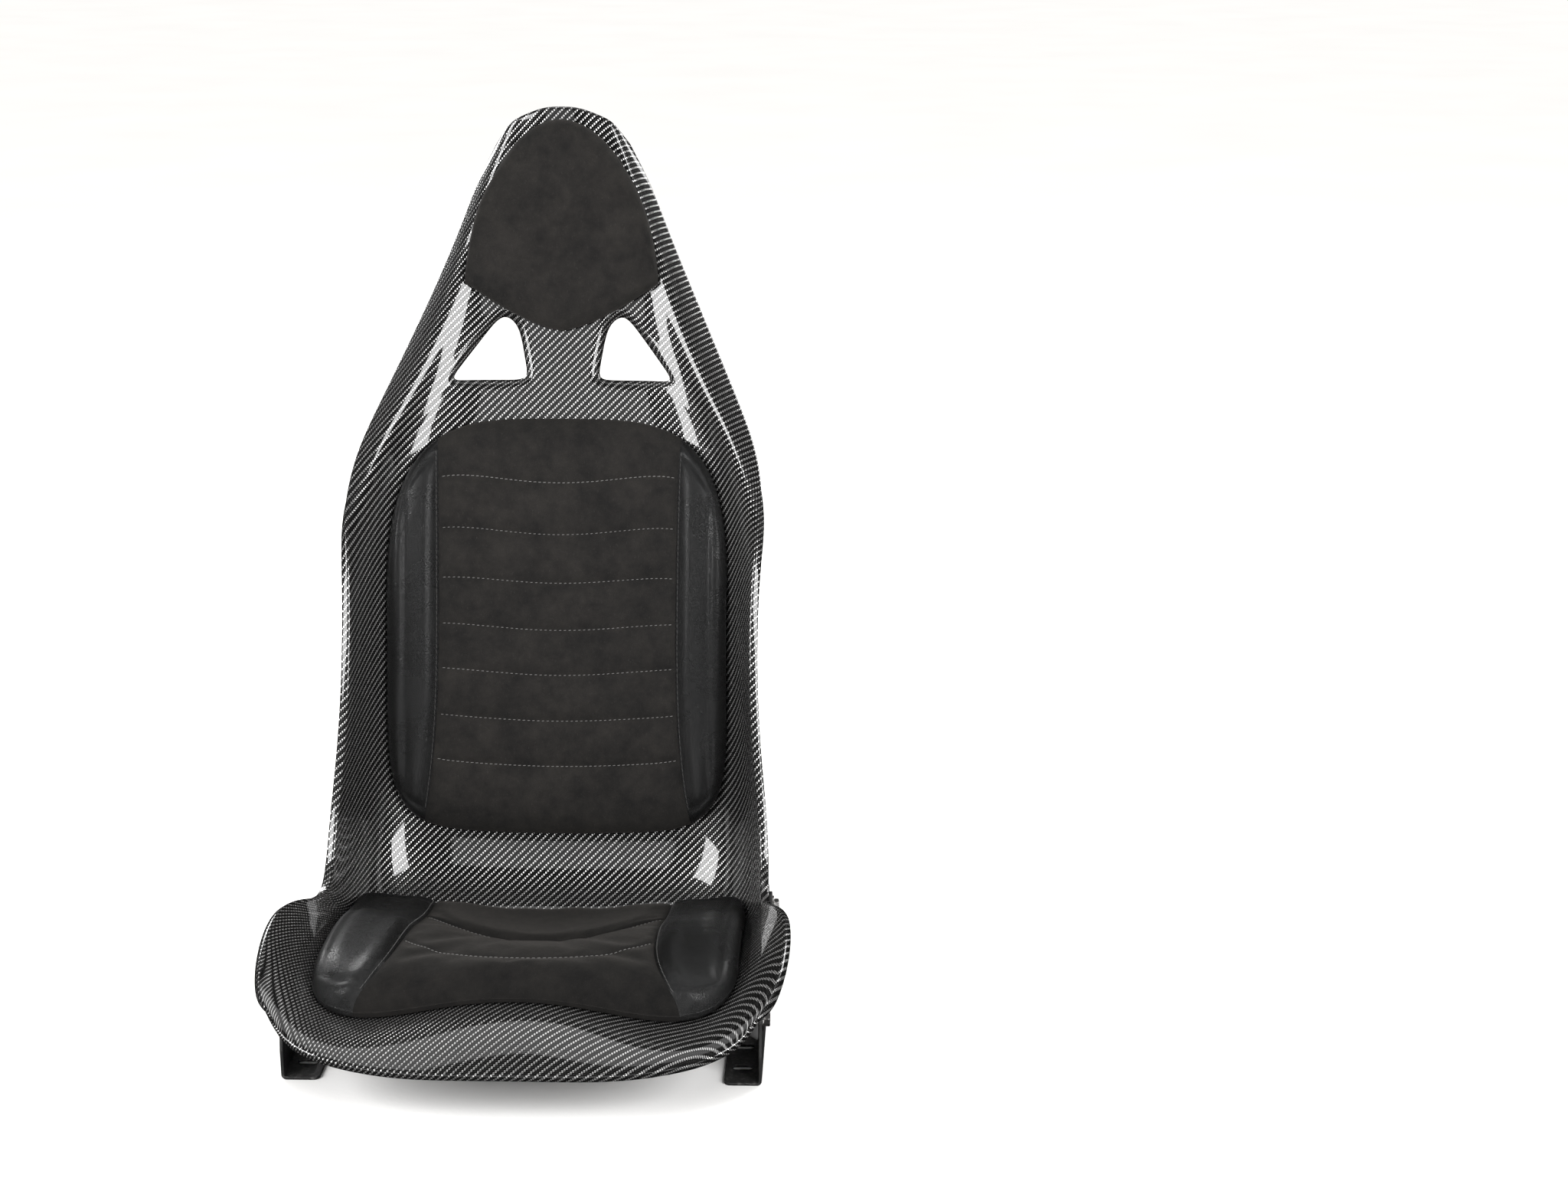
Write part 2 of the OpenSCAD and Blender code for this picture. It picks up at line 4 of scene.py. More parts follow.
import bmesh
import bpy
import numpy as np
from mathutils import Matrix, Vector


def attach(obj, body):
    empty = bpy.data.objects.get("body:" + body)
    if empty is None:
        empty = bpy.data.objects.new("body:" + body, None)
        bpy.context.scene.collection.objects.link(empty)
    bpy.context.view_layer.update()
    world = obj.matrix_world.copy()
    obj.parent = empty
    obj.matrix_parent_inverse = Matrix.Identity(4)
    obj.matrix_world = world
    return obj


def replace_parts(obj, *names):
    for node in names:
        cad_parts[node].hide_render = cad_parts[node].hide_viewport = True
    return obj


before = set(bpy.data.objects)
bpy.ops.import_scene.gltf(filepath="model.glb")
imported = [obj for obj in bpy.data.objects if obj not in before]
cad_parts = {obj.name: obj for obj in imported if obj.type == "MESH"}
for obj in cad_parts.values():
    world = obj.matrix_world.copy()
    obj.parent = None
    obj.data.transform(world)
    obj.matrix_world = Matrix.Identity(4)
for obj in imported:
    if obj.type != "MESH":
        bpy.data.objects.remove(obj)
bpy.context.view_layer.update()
MM = 0.001
PI = math.pi

# ------------------------------------------------------------------ shell surface
# The same stations as the CAD shell: middle line (y, z), rim (y, z), floor half width and share,
# wall foot half width and share, ridge half width and share, rim half width, pommel, ridge height.
STATIONS = np.array([
    [-267, 60, -212, 92, 108, .02, 172, .22, 208, .55, 226, 0, 0],
    [-248, 72, -196, 102, 108, -.08, 172, 0, 212, .42, 236, 3, 0],
    [-216, 86, -170, 111, 106, -.30, 172, -.50, 215, .25, 242, 8, 0],
    [-168, 89, -136, 119, 106, -.35, 178, -.70, 217, .36, 246, 8, 0],
    [-102, 70, -98, 126, 106, -.05, 182, -.15, 218, .52, 246, 2, 0],
    [-30, 45, -58, 129, 106, .05, 184, .10, 216, .60, 242, 0, 0],
    [45, 24, -16, 117, 106, .05, 185, .16, 213, .66, 229, 0, 0],
    [120, 24, 22, 98, 106, .03, 186, .15, 210, .64, 218, 0, 0],
    [168, 76, 62, 110, 108, .02, 184, .13, 208, .60, 218, 0, 0],
    [190, 156, 88, 162, 110, .02, 180, .12, 204, .58, 216, 0, 0],
    [208, 238, 104, 222, 112, .02, 177, .12, 199, .58, 209, 0, 0],
    [230, 318, 124, 296, 114, .02, 175, .13, 195, .60, 204, 0, 0],
    [252, 396, 148, 370, 114, .02, 173, .14, 194, .62, 204, 0, 0],
    [272, 458, 168, 420, 112, .02, 171, .16, 196, .68, 207, 0, 0],
    [290, 516, 200, 468, 108, .03, 166, .22, 199, .84, 214, 0, 2],
    [306, 568, 244, 512, 100, .05, 152, .40, 188, .96, 209, 0, 8],
    [320, 616, 280, 557, 84, .08, 128, .48, 162, .98, 188, 0, 15],
    [332, 662, 308, 603, 70, .12, 108, .52, 138, .96, 166, 0, 20],
    [342, 706, 332, 648, 60, .16, 92, .50, 118, .84, 145, 0, 18],
    [348, 748, 348, 692, 52, .18, 80, .46, 102, .74, 125, 0, 13],
    [352, 787, 360, 735, 44, .16, 68, .42, 86, .66, 107, 0, 9],
    [356, 822, 369, 776, 36, .14, 56, .36, 72, .60, 91, 0, 6],
    [360, 852, 376, 814, 26, .08, 44, .28, 58, .52, 71, 0, 4]], float)
NU, NV = len(STATIONS) - 1, 5
SHELL_T = 3.0


def control_net():
    rows = []
    for yc, zc, yr, zr, wf, kf, wb, kb, wm, km, wr, pommel, ridge in STATIONS:
        c, d = np.array([0, yc, zc]), np.array([0, yr - yc, zr - zc])
        row = [c + [0, 0, pommel], c + [wf / 2, 0, pommel / 2], c + d * kf + [wf, 0, 0],
               c + d * kb + [wb, 0, 0], c + d * km + [wm, -ridge, .3 * ridge], c + d + [wr, 0, 0]]
        rows.append([row[1] * [-1, 1, 1]] + row + [2 * row[5] - row[4]])
    rows = np.array(rows)
    return np.concatenate([[2 * rows[0] - rows[1]], rows, [2 * rows[-1] - rows[-2]]])


NET = control_net()


def weights(t, slope):
    if slope:
        return np.array([-(1 - t) ** 2, 3 * t * t - 4 * t, -3 * t * t + 2 * t + 1, t * t]) / 2
    return np.array([(1 - t) ** 3, 3 * t ** 3 - 6 * t * t + 4, -3 * t ** 3 + 3 * t * t + 3 * t + 1,
                     t ** 3]) / 6


def surface(u, v, du=0, dv=0):
    """Point of the shell, or its slope: u runs lip to head, v runs middle to rim on either side."""
    u, v = np.broadcast_arrays(np.asarray(u, float), np.asarray(v, float))
    side, a = np.where(v < 0, -1.0, 1.0), np.abs(v)
    i = np.clip(np.floor(u).astype(int), 0, NU - 1)
    j = np.clip(np.floor(a).astype(int), 0, NV - 1)
    wu, wv = weights(u - i, du), weights(a - j, dv)
    out = np.zeros(u.shape + (3,))
    for r in range(4):
        for c in range(4):
            out += (wu[r] * wv[c])[..., None] * NET[i + r, j + c]
    out[..., 0] *= side
    return out * side[..., None] if dv else out


def unit(p):
    return p / np.linalg.norm(p, axis=-1, keepdims=True)


def facing(u, v):
    return unit(np.cross(surface(u, v, dv=1), surface(u, v, du=1)))


def lift(u, v, h):
    return surface(u, v) + facing(u, v) * np.asarray(h, float)[..., None]


def find(x, s, k):
    """Surface parameters under x and y (k = 1) or x and z (k = 2)."""
    x, s = np.broadcast_arrays(np.asarray(x, float), np.asarray(s, float))
    if k == 1:
        u, v = 3 + (s + 168) / 68, x / 55
    else:
        u, v = np.where(s < 516, 9 + (s - 156) / 72, 14 + (s - 516) / 46), x / 50
    for _ in range(8):
        p, a, b = surface(u, v), surface(u, v, du=1), surface(u, v, dv=1)
        det = b[..., 0] * a[..., k] - a[..., 0] * b[..., k]
        ex, es = x - p[..., 0], s - p[..., k]
        u = np.clip(u + (es * b[..., 0] - ex * b[..., k]) / det, 0, NU)
        v = np.clip(v + (ex * a[..., k] - es * a[..., 0]) / det, -NV, NV)
    return u, v


# ------------------------------------------------------------------ mesh helpers
def point_outward(me):
    bm = bmesh.new()
    bm.from_mesh(me)
    bmesh.ops.recalc_face_normals(bm, faces=bm.faces)
    bm.to_mesh(me)
    bm.free()


def make(name, points, faces, mats, body, uv=None, which=None, outward=True):
    """A mesh object from points in millimetres, riding on a CAD body."""
    me = bpy.data.meshes.new(name)
    me.from_pydata((np.asarray(points) * MM).tolist(), [], [list(map(int, f)) for f in faces])
    ob = bpy.data.objects.new(name, me)
    bpy.context.scene.collection.objects.link(ob)
    for m in mats:
        me.materials.append(m)
    if uv is not None:
        layer = me.uv_layers.new(name="cloth")
        index = np.empty(len(me.loops), np.int32)
        me.loops.foreach_get("vertex_index", index)
        layer.data.foreach_set("uv", (np.asarray(uv, float)[index] * MM).astype(np.float32).ravel())
    if which is not None:
        me.polygons.foreach_set("material_index", np.asarray(which, np.int32))
    if outward:
        point_outward(me)
    me.polygons.foreach_set("use_smooth", [True] * len(me.polygons))
    me.update()
    if body:
        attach(ob, body)
    return ob


def grid_faces(nr, nc, base=0):
    i = (np.arange(nr - 1)[:, None] * nc + np.arange(nc - 1)[None]).ravel() + base
    return np.stack([i, i + 1, i + nc + 1, i + nc], 1)


def border(nr, nc):
    """Grid indices round the edge of a grid, as one loop."""
    return np.concatenate([np.arange(nc - 1), np.arange(nr - 1) * nc + nc - 1,
                           (nr - 1) * nc + np.arange(nc - 1, 0, -1), np.arange(nr - 1, 0, -1) * nc])


def bridge(a, b):
    """Quads between two closed loops of vertex numbers."""
    return np.stack([a, np.roll(a, -1), np.roll(b, -1), b], 1)


def tube_faces(n, rings):
    """Quads between rings of n vertices that follow one another."""
    return [f for i in range(rings - 1)
            for f in bridge(np.arange(n) + i * n, np.arange(n) + (i + 1) * n).tolist()]


def crease_over(ob, degrees):
    ob.data.set_sharp_from_angle(angle=math.radians(degrees))


# ------------------------------------------------------------------ node helpers
class Shade:
    """A material with one Principled shader and short calls for its nodes."""

    def __init__(self, name):
        self.mat = bpy.data.materials.new(name)
        self.mat.use_nodes = True
        self.tree = self.mat.node_tree
        self.bsdf = next(n for n in self.tree.nodes if n.type == "BSDF_PRINCIPLED")

    def node(self, kind, **settings):
        n = self.tree.nodes.new(kind)
        for key, value in settings.items():
            setattr(n, key, value)
        return n

    def feed(self, socket, value):
        if isinstance(value, bpy.types.NodeSocket):
            self.tree.links.new(value, socket)
        else:
            socket.default_value = value

    def math(self, op, *values):
        n = self.node("ShaderNodeMath", operation=op)
        for i, value in enumerate(values):
            self.feed(n.inputs[i], value)
        return n.outputs[0]

    def times(self, a, b):
        return self.math("MULTIPLY", a, b)

    def plus(self, a, b):
        return self.math("ADD", a, b)

    def minus(self, a, b):
        return self.math("SUBTRACT", a, b)

    def mix(self, share, a, b):
        n = self.node("ShaderNodeMix", data_type="RGBA")
        self.feed(n.inputs[0], share)
        self.feed(n.inputs[6], a)
        self.feed(n.inputs[7], b)
        return n.outputs[2]

    def blend(self, share, a, b):
        return self.plus(self.times(a, self.minus(1.0, share)), self.times(b, share))

    def where(self):
        return self.node("ShaderNodeTexCoord").outputs["Object"]

    def scaled(self, vector, scale):
        n = self.node("ShaderNodeMapping")
        self.feed(n.inputs[0], vector)
        n.inputs["Scale"].default_value = scale
        return n.outputs[0]

    def noise(self, scale, detail=2.0, rough=0.5, vector=None, out="Fac"):
        n = self.node("ShaderNodeTexNoise")
        self.feed(n.inputs["Vector"], vector or self.where())
        n.inputs["Scale"].default_value = scale
        n.inputs["Detail"].default_value = detail
        n.inputs["Roughness"].default_value = rough
        return n.outputs[out]

    def cells(self, scale, feature="F1", vector=None, out="Distance"):
        n = self.node("ShaderNodeTexVoronoi", feature=feature)
        self.feed(n.inputs["Vector"], vector or self.where())
        n.inputs["Scale"].default_value = scale
        return n.outputs[out]

    def ramp(self, value, low, high, to_low=0.0, to_high=1.0):
        n = self.node("ShaderNodeMapRange", clamp=True)
        self.feed(n.inputs[0], value)
        for i, x in enumerate((low, high, to_low, to_high)):
            n.inputs[i + 1].default_value = x
        return n.outputs[0]

    def bump(self, height, distance, strength=1.0):
        n = self.node("ShaderNodeBump")
        n.inputs["Strength"].default_value = strength
        n.inputs["Distance"].default_value = distance
        self.feed(n.inputs["Height"], height)
        return n.outputs[0]

    def done(self, **sockets):
        names = {"color": "Base Color", "metallic": "Metallic", "roughness": "Roughness",
                 "normal": "Normal", "specular": "Specular IOR Level",
                 "coat": "Coat Weight", "coat_roughness": "Coat Roughness", "coat_ior": "Coat IOR",
                 "sheen": "Sheen Weight", "sheen_roughness": "Sheen Roughness",
                 "sheen_tint": "Sheen Tint", "anisotropic": "Anisotropic",
                 "turn": "Anisotropic Rotation", "tangent": "Tangent"}
        for key, value in sockets.items():
            self.feed(self.bsdf.inputs[names[key]], value)
        return self.mat


def grey(x, warm=0.0):
    return (x * (1 + warm), x, x * (1 - warm), 1.0)


TOW = 2.0


def laminate(name, coat_roughness):
    """Two-over, two-under twill under clear coat; it reads the cloth coordinates, in metres. Its colour
    holds painted light: upright tows are painted lit, flat tows painted shaded, and each float has a
    painted highlight on its crown with painted shade at its edges.
    """
    s = Shade(name)
    uv = s.node("ShaderNodeUVMap", uv_map="cloth").outputs[0]
    part = s.node("ShaderNodeSeparateXYZ")
    s.feed(part.inputs[0], uv)
    wander = s.noise(9.0, 1.0, vector=uv)
    shift = s.times(s.minus(wander, 0.5), 0.9)
    p = s.plus(s.math("DIVIDE", part.outputs[0], TOW * MM), shift)
    q = s.plus(s.math("DIVIDE", part.outputs[1], TOW * MM), shift)
    i, j = s.math("FLOOR", p), s.math("FLOOR", q)
    fp, fq = s.math("FRACT", p), s.math("FRACT", q)
    step = s.math("FLOORED_MODULO", s.minus(i, j), 4.0)
    upright = s.math("LESS_THAN", step, 1.5)
    along_up = s.times(s.plus(s.minus(1.0, step), fq), 0.5)
    along_flat = s.times(s.plus(s.minus(step, 2.0), fp), 0.5)
    along = s.blend(upright, along_flat, along_up)
    across = s.blend(upright, fq, fp)
    crown = s.math("SINE", s.times(along, PI))
    round_ = s.math("SINE", s.times(across, PI))
    height = s.plus(s.times(s.math("POWER", crown, 0.8), 0.62), s.times(s.math("POWER", round_, 0.7), 0.38))
    # body is 1 on the crown of each float and falls to 0 at its edges: colour and metallic use it, giving a
    # painted highlight on the crown and painted shade between tows
    body = s.times(s.ramp(crown, 0.5, 0.98), s.ramp(round_, 0.2, 0.8))
    # every tow has its own shade, and fibres run along it
    own = s.node("ShaderNodeTexWhiteNoise", noise_dimensions="2D")
    pair = s.node("ShaderNodeCombineXYZ")
    s.feed(pair.inputs[0], s.blend(upright, j, i))
    s.feed(pair.inputs[1], s.times(upright, 7.0))
    s.feed(own.inputs[0], pair.outputs[0])
    lines = s.node("ShaderNodeCombineXYZ")
    s.feed(lines.inputs[0], s.times(s.blend(upright, q, p), 6.0))
    s.feed(lines.inputs[1], s.times(s.blend(upright, p, q), 0.35))
    fibre = s.noise(1.0, 1.0, vector=lines.outputs[0])
    shade = s.plus(s.times(own.outputs[0], 0.35), s.times(fibre, 0.65))
    # painted light: upright tows get a bright base colour and flat tows a near-black one, lit and shaded
    # copies of the same fibre, and every float goes near black at its edges as painted shade
    painted_lit_warp = s.mix(shade, grey(0.45), grey(0.90, 0.012))
    painted_shaded_weft = s.mix(shade, grey(0.02), grey(0.06, 0.02))
    color = s.mix(body, grey(0.004), s.mix(upright, painted_shaded_weft, painted_lit_warp))
    normal = s.bump(s.plus(height, s.times(fibre, 0.05)), 0.00050, 1.0)
    tangent = s.node("ShaderNodeTangent", direction_type="UV_MAP", uv_map="cloth")
    across_tow = s.times(s.minus(1.0, upright), 0.25)
    # the highlight spreads across each tow, whichever way it runs
    return s.done(color=color, metallic=s.ramp(body, 0, 1, 0.2, 1.0), normal=normal,
                  roughness=s.ramp(fibre, 0.2, 0.8, 0.22, 0.30), anisotropic=0.85,
                  turn=across_tow, tangent=tangent.outputs[0], specular=0.0,
                  coat=1.0, coat_roughness=coat_roughness, coat_ior=1.5)


def suede(name, tone=0.012):
    s = Shade(name)
    at = s.where()
    brushed = s.noise(26.0, 3.0, 0.6)
    patch = s.noise(75.0, 3.0, 0.65)
    nap = s.noise(2300.0, 2.0, 0.7)
    hair = s.noise(620.0, 3.0, 0.7, vector=s.scaled(at, (1.0, 0.6, 0.45)))
    tone_mix = s.ramp(s.plus(s.times(brushed, 0.55), s.times(patch, 0.45)),
                      0.36, 0.64)
    color = s.mix(tone_mix, grey(tone * 0.72, 0.03), grey(tone * 1.35, 0.09))
    color = s.mix(s.ramp(nap, 0.3, 0.75, 0.0, 0.55), color, grey(tone * 0.35))
    color = s.mix(s.ramp(hair, 0.60, 0.78, 0.0, 0.45), color, grey(tone * 2.6, 0.06))
    fuzz = s.plus(s.times(nap, 0.5), s.times(hair, 0.5))
    normal = s.bump(fuzz, 0.0005, 0.8)
    return s.done(color=color, roughness=s.ramp(tone_mix, 0, 1, 0.98, 0.88), normal=normal,
                  specular=0.12, sheen=0.14, sheen_roughness=0.42, sheen_tint=(0.32, 0.30, 0.28, 1))


def leather(name, tone=0.006):
    s = Shade(name)
    at = s.where()
    bend = s.node("ShaderNodeVectorMath", operation="ADD")
    s.feed(bend.inputs[0], at)
    wob = s.node("ShaderNodeVectorMath", operation="SCALE")
    s.feed(wob.inputs[0], s.noise(500.0, 1.0, out="Color"))
    wob.inputs["Scale"].default_value = 0.0006
    s.feed(bend.inputs[1], wob.outputs[0])
    pebble = s.cells(900.0, "DISTANCE_TO_EDGE", bend.outputs[0])
    grain = s.ramp(pebble, 0.0, 0.16)
    crease = s.noise(140.0, 4.0, 0.62)
    cloud = s.noise(22.0, 2.0)
    pores = s.noise(1900.0, 1.0)
    color = s.mix(s.ramp(cloud, 0.3, 0.7), grey(tone * 0.86, -0.02), grey(tone * 1.18, -0.01))
    color = s.mix(s.ramp(grain, 0.0, 1.0, 0.5, 0.0), color, grey(tone * 0.35))
    high = s.plus(s.times(grain, 0.55), s.times(crease, 0.8))
    normal = s.bump(s.plus(high, s.times(pores, 0.15)), 0.00022, 0.9)
    rough = s.plus(s.ramp(cloud, 0.3, 0.7, 0.24, 0.31), s.ramp(grain, 0.0, 1.0, 0.14, 0.0))
    return s.done(color=color, roughness=rough, normal=normal, specular=0.27)


def thread(name, tone=0.11):
    s = Shade(name)
    ply = s.noise(3500.0, 1.0)
    color = s.mix(ply, grey(tone * 0.55, 0.02), grey(tone * 1.4, 0.02))
    return s.done(color=color, roughness=s.ramp(ply, 0, 1, 0.5, 0.75), normal=s.bump(ply, 0.0001),
                  sheen=0.3, sheen_roughness=0.4, specular=0.3)


def powder_coat(name):
    s = Shade(name)
    orange = s.noise(900.0, 2.0, 0.5)
    cloud = s.noise(30.0, 3.0)
    height = s.node("ShaderNodeSeparateXYZ")
    s.feed(height.inputs[0], s.where())
    low = s.ramp(height.outputs[2], 0.0, 0.006, 1.0, 0.0)
    scuff = s.times(low, s.ramp(s.noise(260.0, 4.0, 0.7), 0.5, 0.68))
    color = s.mix(s.ramp(cloud, 0.3, 0.7), grey(0.012), grey(0.020))
    color = s.mix(scuff, color, grey(0.10, 0.03))
    return s.done(color=color, roughness=s.ramp(orange, 0.3, 0.7, 0.34, 0.50),
                  normal=s.bump(orange, 0.00018, 0.6), specular=0.5)


def zinc(name):
    s = Shade(name)
    cloud = s.noise(240.0, 3.0, 0.6)
    fine = s.noise(2600.0, 2.0)
    color = s.mix(s.ramp(cloud, 0.3, 0.7), grey(0.46, 0.01), grey(0.66, 0.02))
    return s.done(color=color, metallic=1.0, roughness=s.ramp(cloud, 0.3, 0.7, 0.24, 0.42),
                  normal=s.bump(fine, 0.00006, 0.7))


def foam(name):
    s = Shade(name)
    cell = s.cells(700.0)
    patch = s.noise(40.0, 2.0)
    color = s.mix(s.ramp(patch, 0.3, 0.7), (0.52, 0.48, 0.36, 1), (0.62, 0.58, 0.45, 1))
    color = s.mix(s.ramp(cell, 0.0, 0.5, 0.5, 0.0), color, (0.30, 0.27, 0.19, 1))
    return s.done(color=color, roughness=s.ramp(cell, 0, 0.6, 0.98, 0.85), normal=s.bump(cell, 0.0008),
                  specular=0.2)


def moulded(name):
    s = Shade(name)
    grain = s.cells(1500.0)
    patch = s.noise(30.0, 2.0)
    color = s.mix(s.ramp(patch, 0.3, 0.7), grey(0.030), grey(0.045))
    return s.done(color=color, roughness=s.ramp(grain, 0, 0.6, 0.62, 0.45), normal=s.bump(grain, 0.0001),
                  specular=0.4)


def tape(name, loops):
    s = Shade(name)
    dots = s.cells(620.0 if loops else 900.0)
    knit = s.noise(1400.0, 2.0)
    color = s.mix(s.ramp(dots, 0.1, 0.55), grey(0.035), grey(0.008))
    color = s.mix(s.ramp(knit, 0.55, 0.8), color, grey(0.06))
    return s.done(color=color, roughness=s.ramp(knit, 0.3, 0.7, 0.7, 0.95),
                  normal=s.bump(dots, 0.0009), specular=0.2, sheen=0.2)


def floor_paint(name):
    s = Shade(name)
    cloud = s.noise(2.0, 3.0)
    fine = s.noise(180.0, 2.0)
    color = s.mix(s.ramp(cloud, 0.3, 0.7), (0.950, 0.945, 0.938, 1), (0.978, 0.974, 0.968, 1))
    return s.done(color=color, roughness=s.ramp(fine, 0.3, 0.7, 0.55, 0.66), specular=0.0,
                  normal=s.bump(fine, 0.0004, 0.3))


CARBON = laminate("twill_gloss", 0.05)
CARBON_BACK = laminate("twill_satin", 0.16)
RESIN = moulded("filled_resin")
SUEDE = suede("suede")
# painted shade: the seat's middle cover uses the same suede with a darker tone, standing in for the seat
# catching less light than the back
SHADED_SUEDE = suede("shaded_suede", 0.0075)
LEATHER = leather("leather")
THREAD = thread("thread")
THREAD_GREY = thread("thread_grey", 0.045)
# painted shade: near-black blobs stand for the shade inside the needle holes
HOLE_SHADE = thread("needle_hole_shade", 0.006)
POWDER = powder_coat("powder_coat")
ZINC = zinc("zinc")
FOAM = foam("foam")
BOARD = moulded("board")
HOOKS = tape("hook_tape", False)
LOOPS = tape("loop_tape", True)


# ------------------------------------------------------------------ shell
def cloth_table(us, vs):
    """Cloth coordinates over the surface, nearly without stretch: across the seat and along it."""
    u, v = np.meshgrid(us, vs, indexing="ij")
    a, b = surface(u, v, du=1), surface(u, v, dv=1)
    run = unit(a[..., 1:] + 1e-12)
    side = np.stack([-run[..., 1], run[..., 0]], -1)
    across = np.hypot(b[..., 0], (b[..., 1:] * side).sum(-1))
    drift = (b[..., 1:] * run).sum(-1)
    step_v, step_u = vs[1] - vs[0], us[1] - us[0]
    mid = len(vs) // 2

    def summed(f, step, axis):
        f = np.moveaxis(f, axis, 0)
        out = np.zeros_like(f)
        out[1:] = np.cumsum((f[1:] + f[:-1]) / 2 * step, 0)
        return np.moveaxis(out, 0, axis)
    x = summed(across, step_v, 1)
    x -= x[:, mid:mid + 1]
    y = summed(np.hypot(a[..., 1], a[..., 2]), step_u, 0)
    ref = int(round(12 / step_u))
    y -= y[ref:ref + 1]
    start = summed(drift[ref:ref + 1], step_v, 1)
    y += start - start[:, mid:mid + 1]
    return x, y


SLOT = (76.0, 597.0)
SLOT_ROLL, SLOT_ROLL_REACH, SLOT_DEPTH = 8.5, 11, 15
SLOT_SIDES = ((0, -1, 22), (0.8, 0.6, 19.4), (-0.985, 0.175, 35), (-0.3, 0.954, 46))


def slot_radius(angle, power=6):
    total = sum(np.maximum(0, (np.cos(angle) * x + np.sin(angle) * y) / d) ** power
                for x, y, d in SLOT_SIDES)
    return total ** (-1 / power)


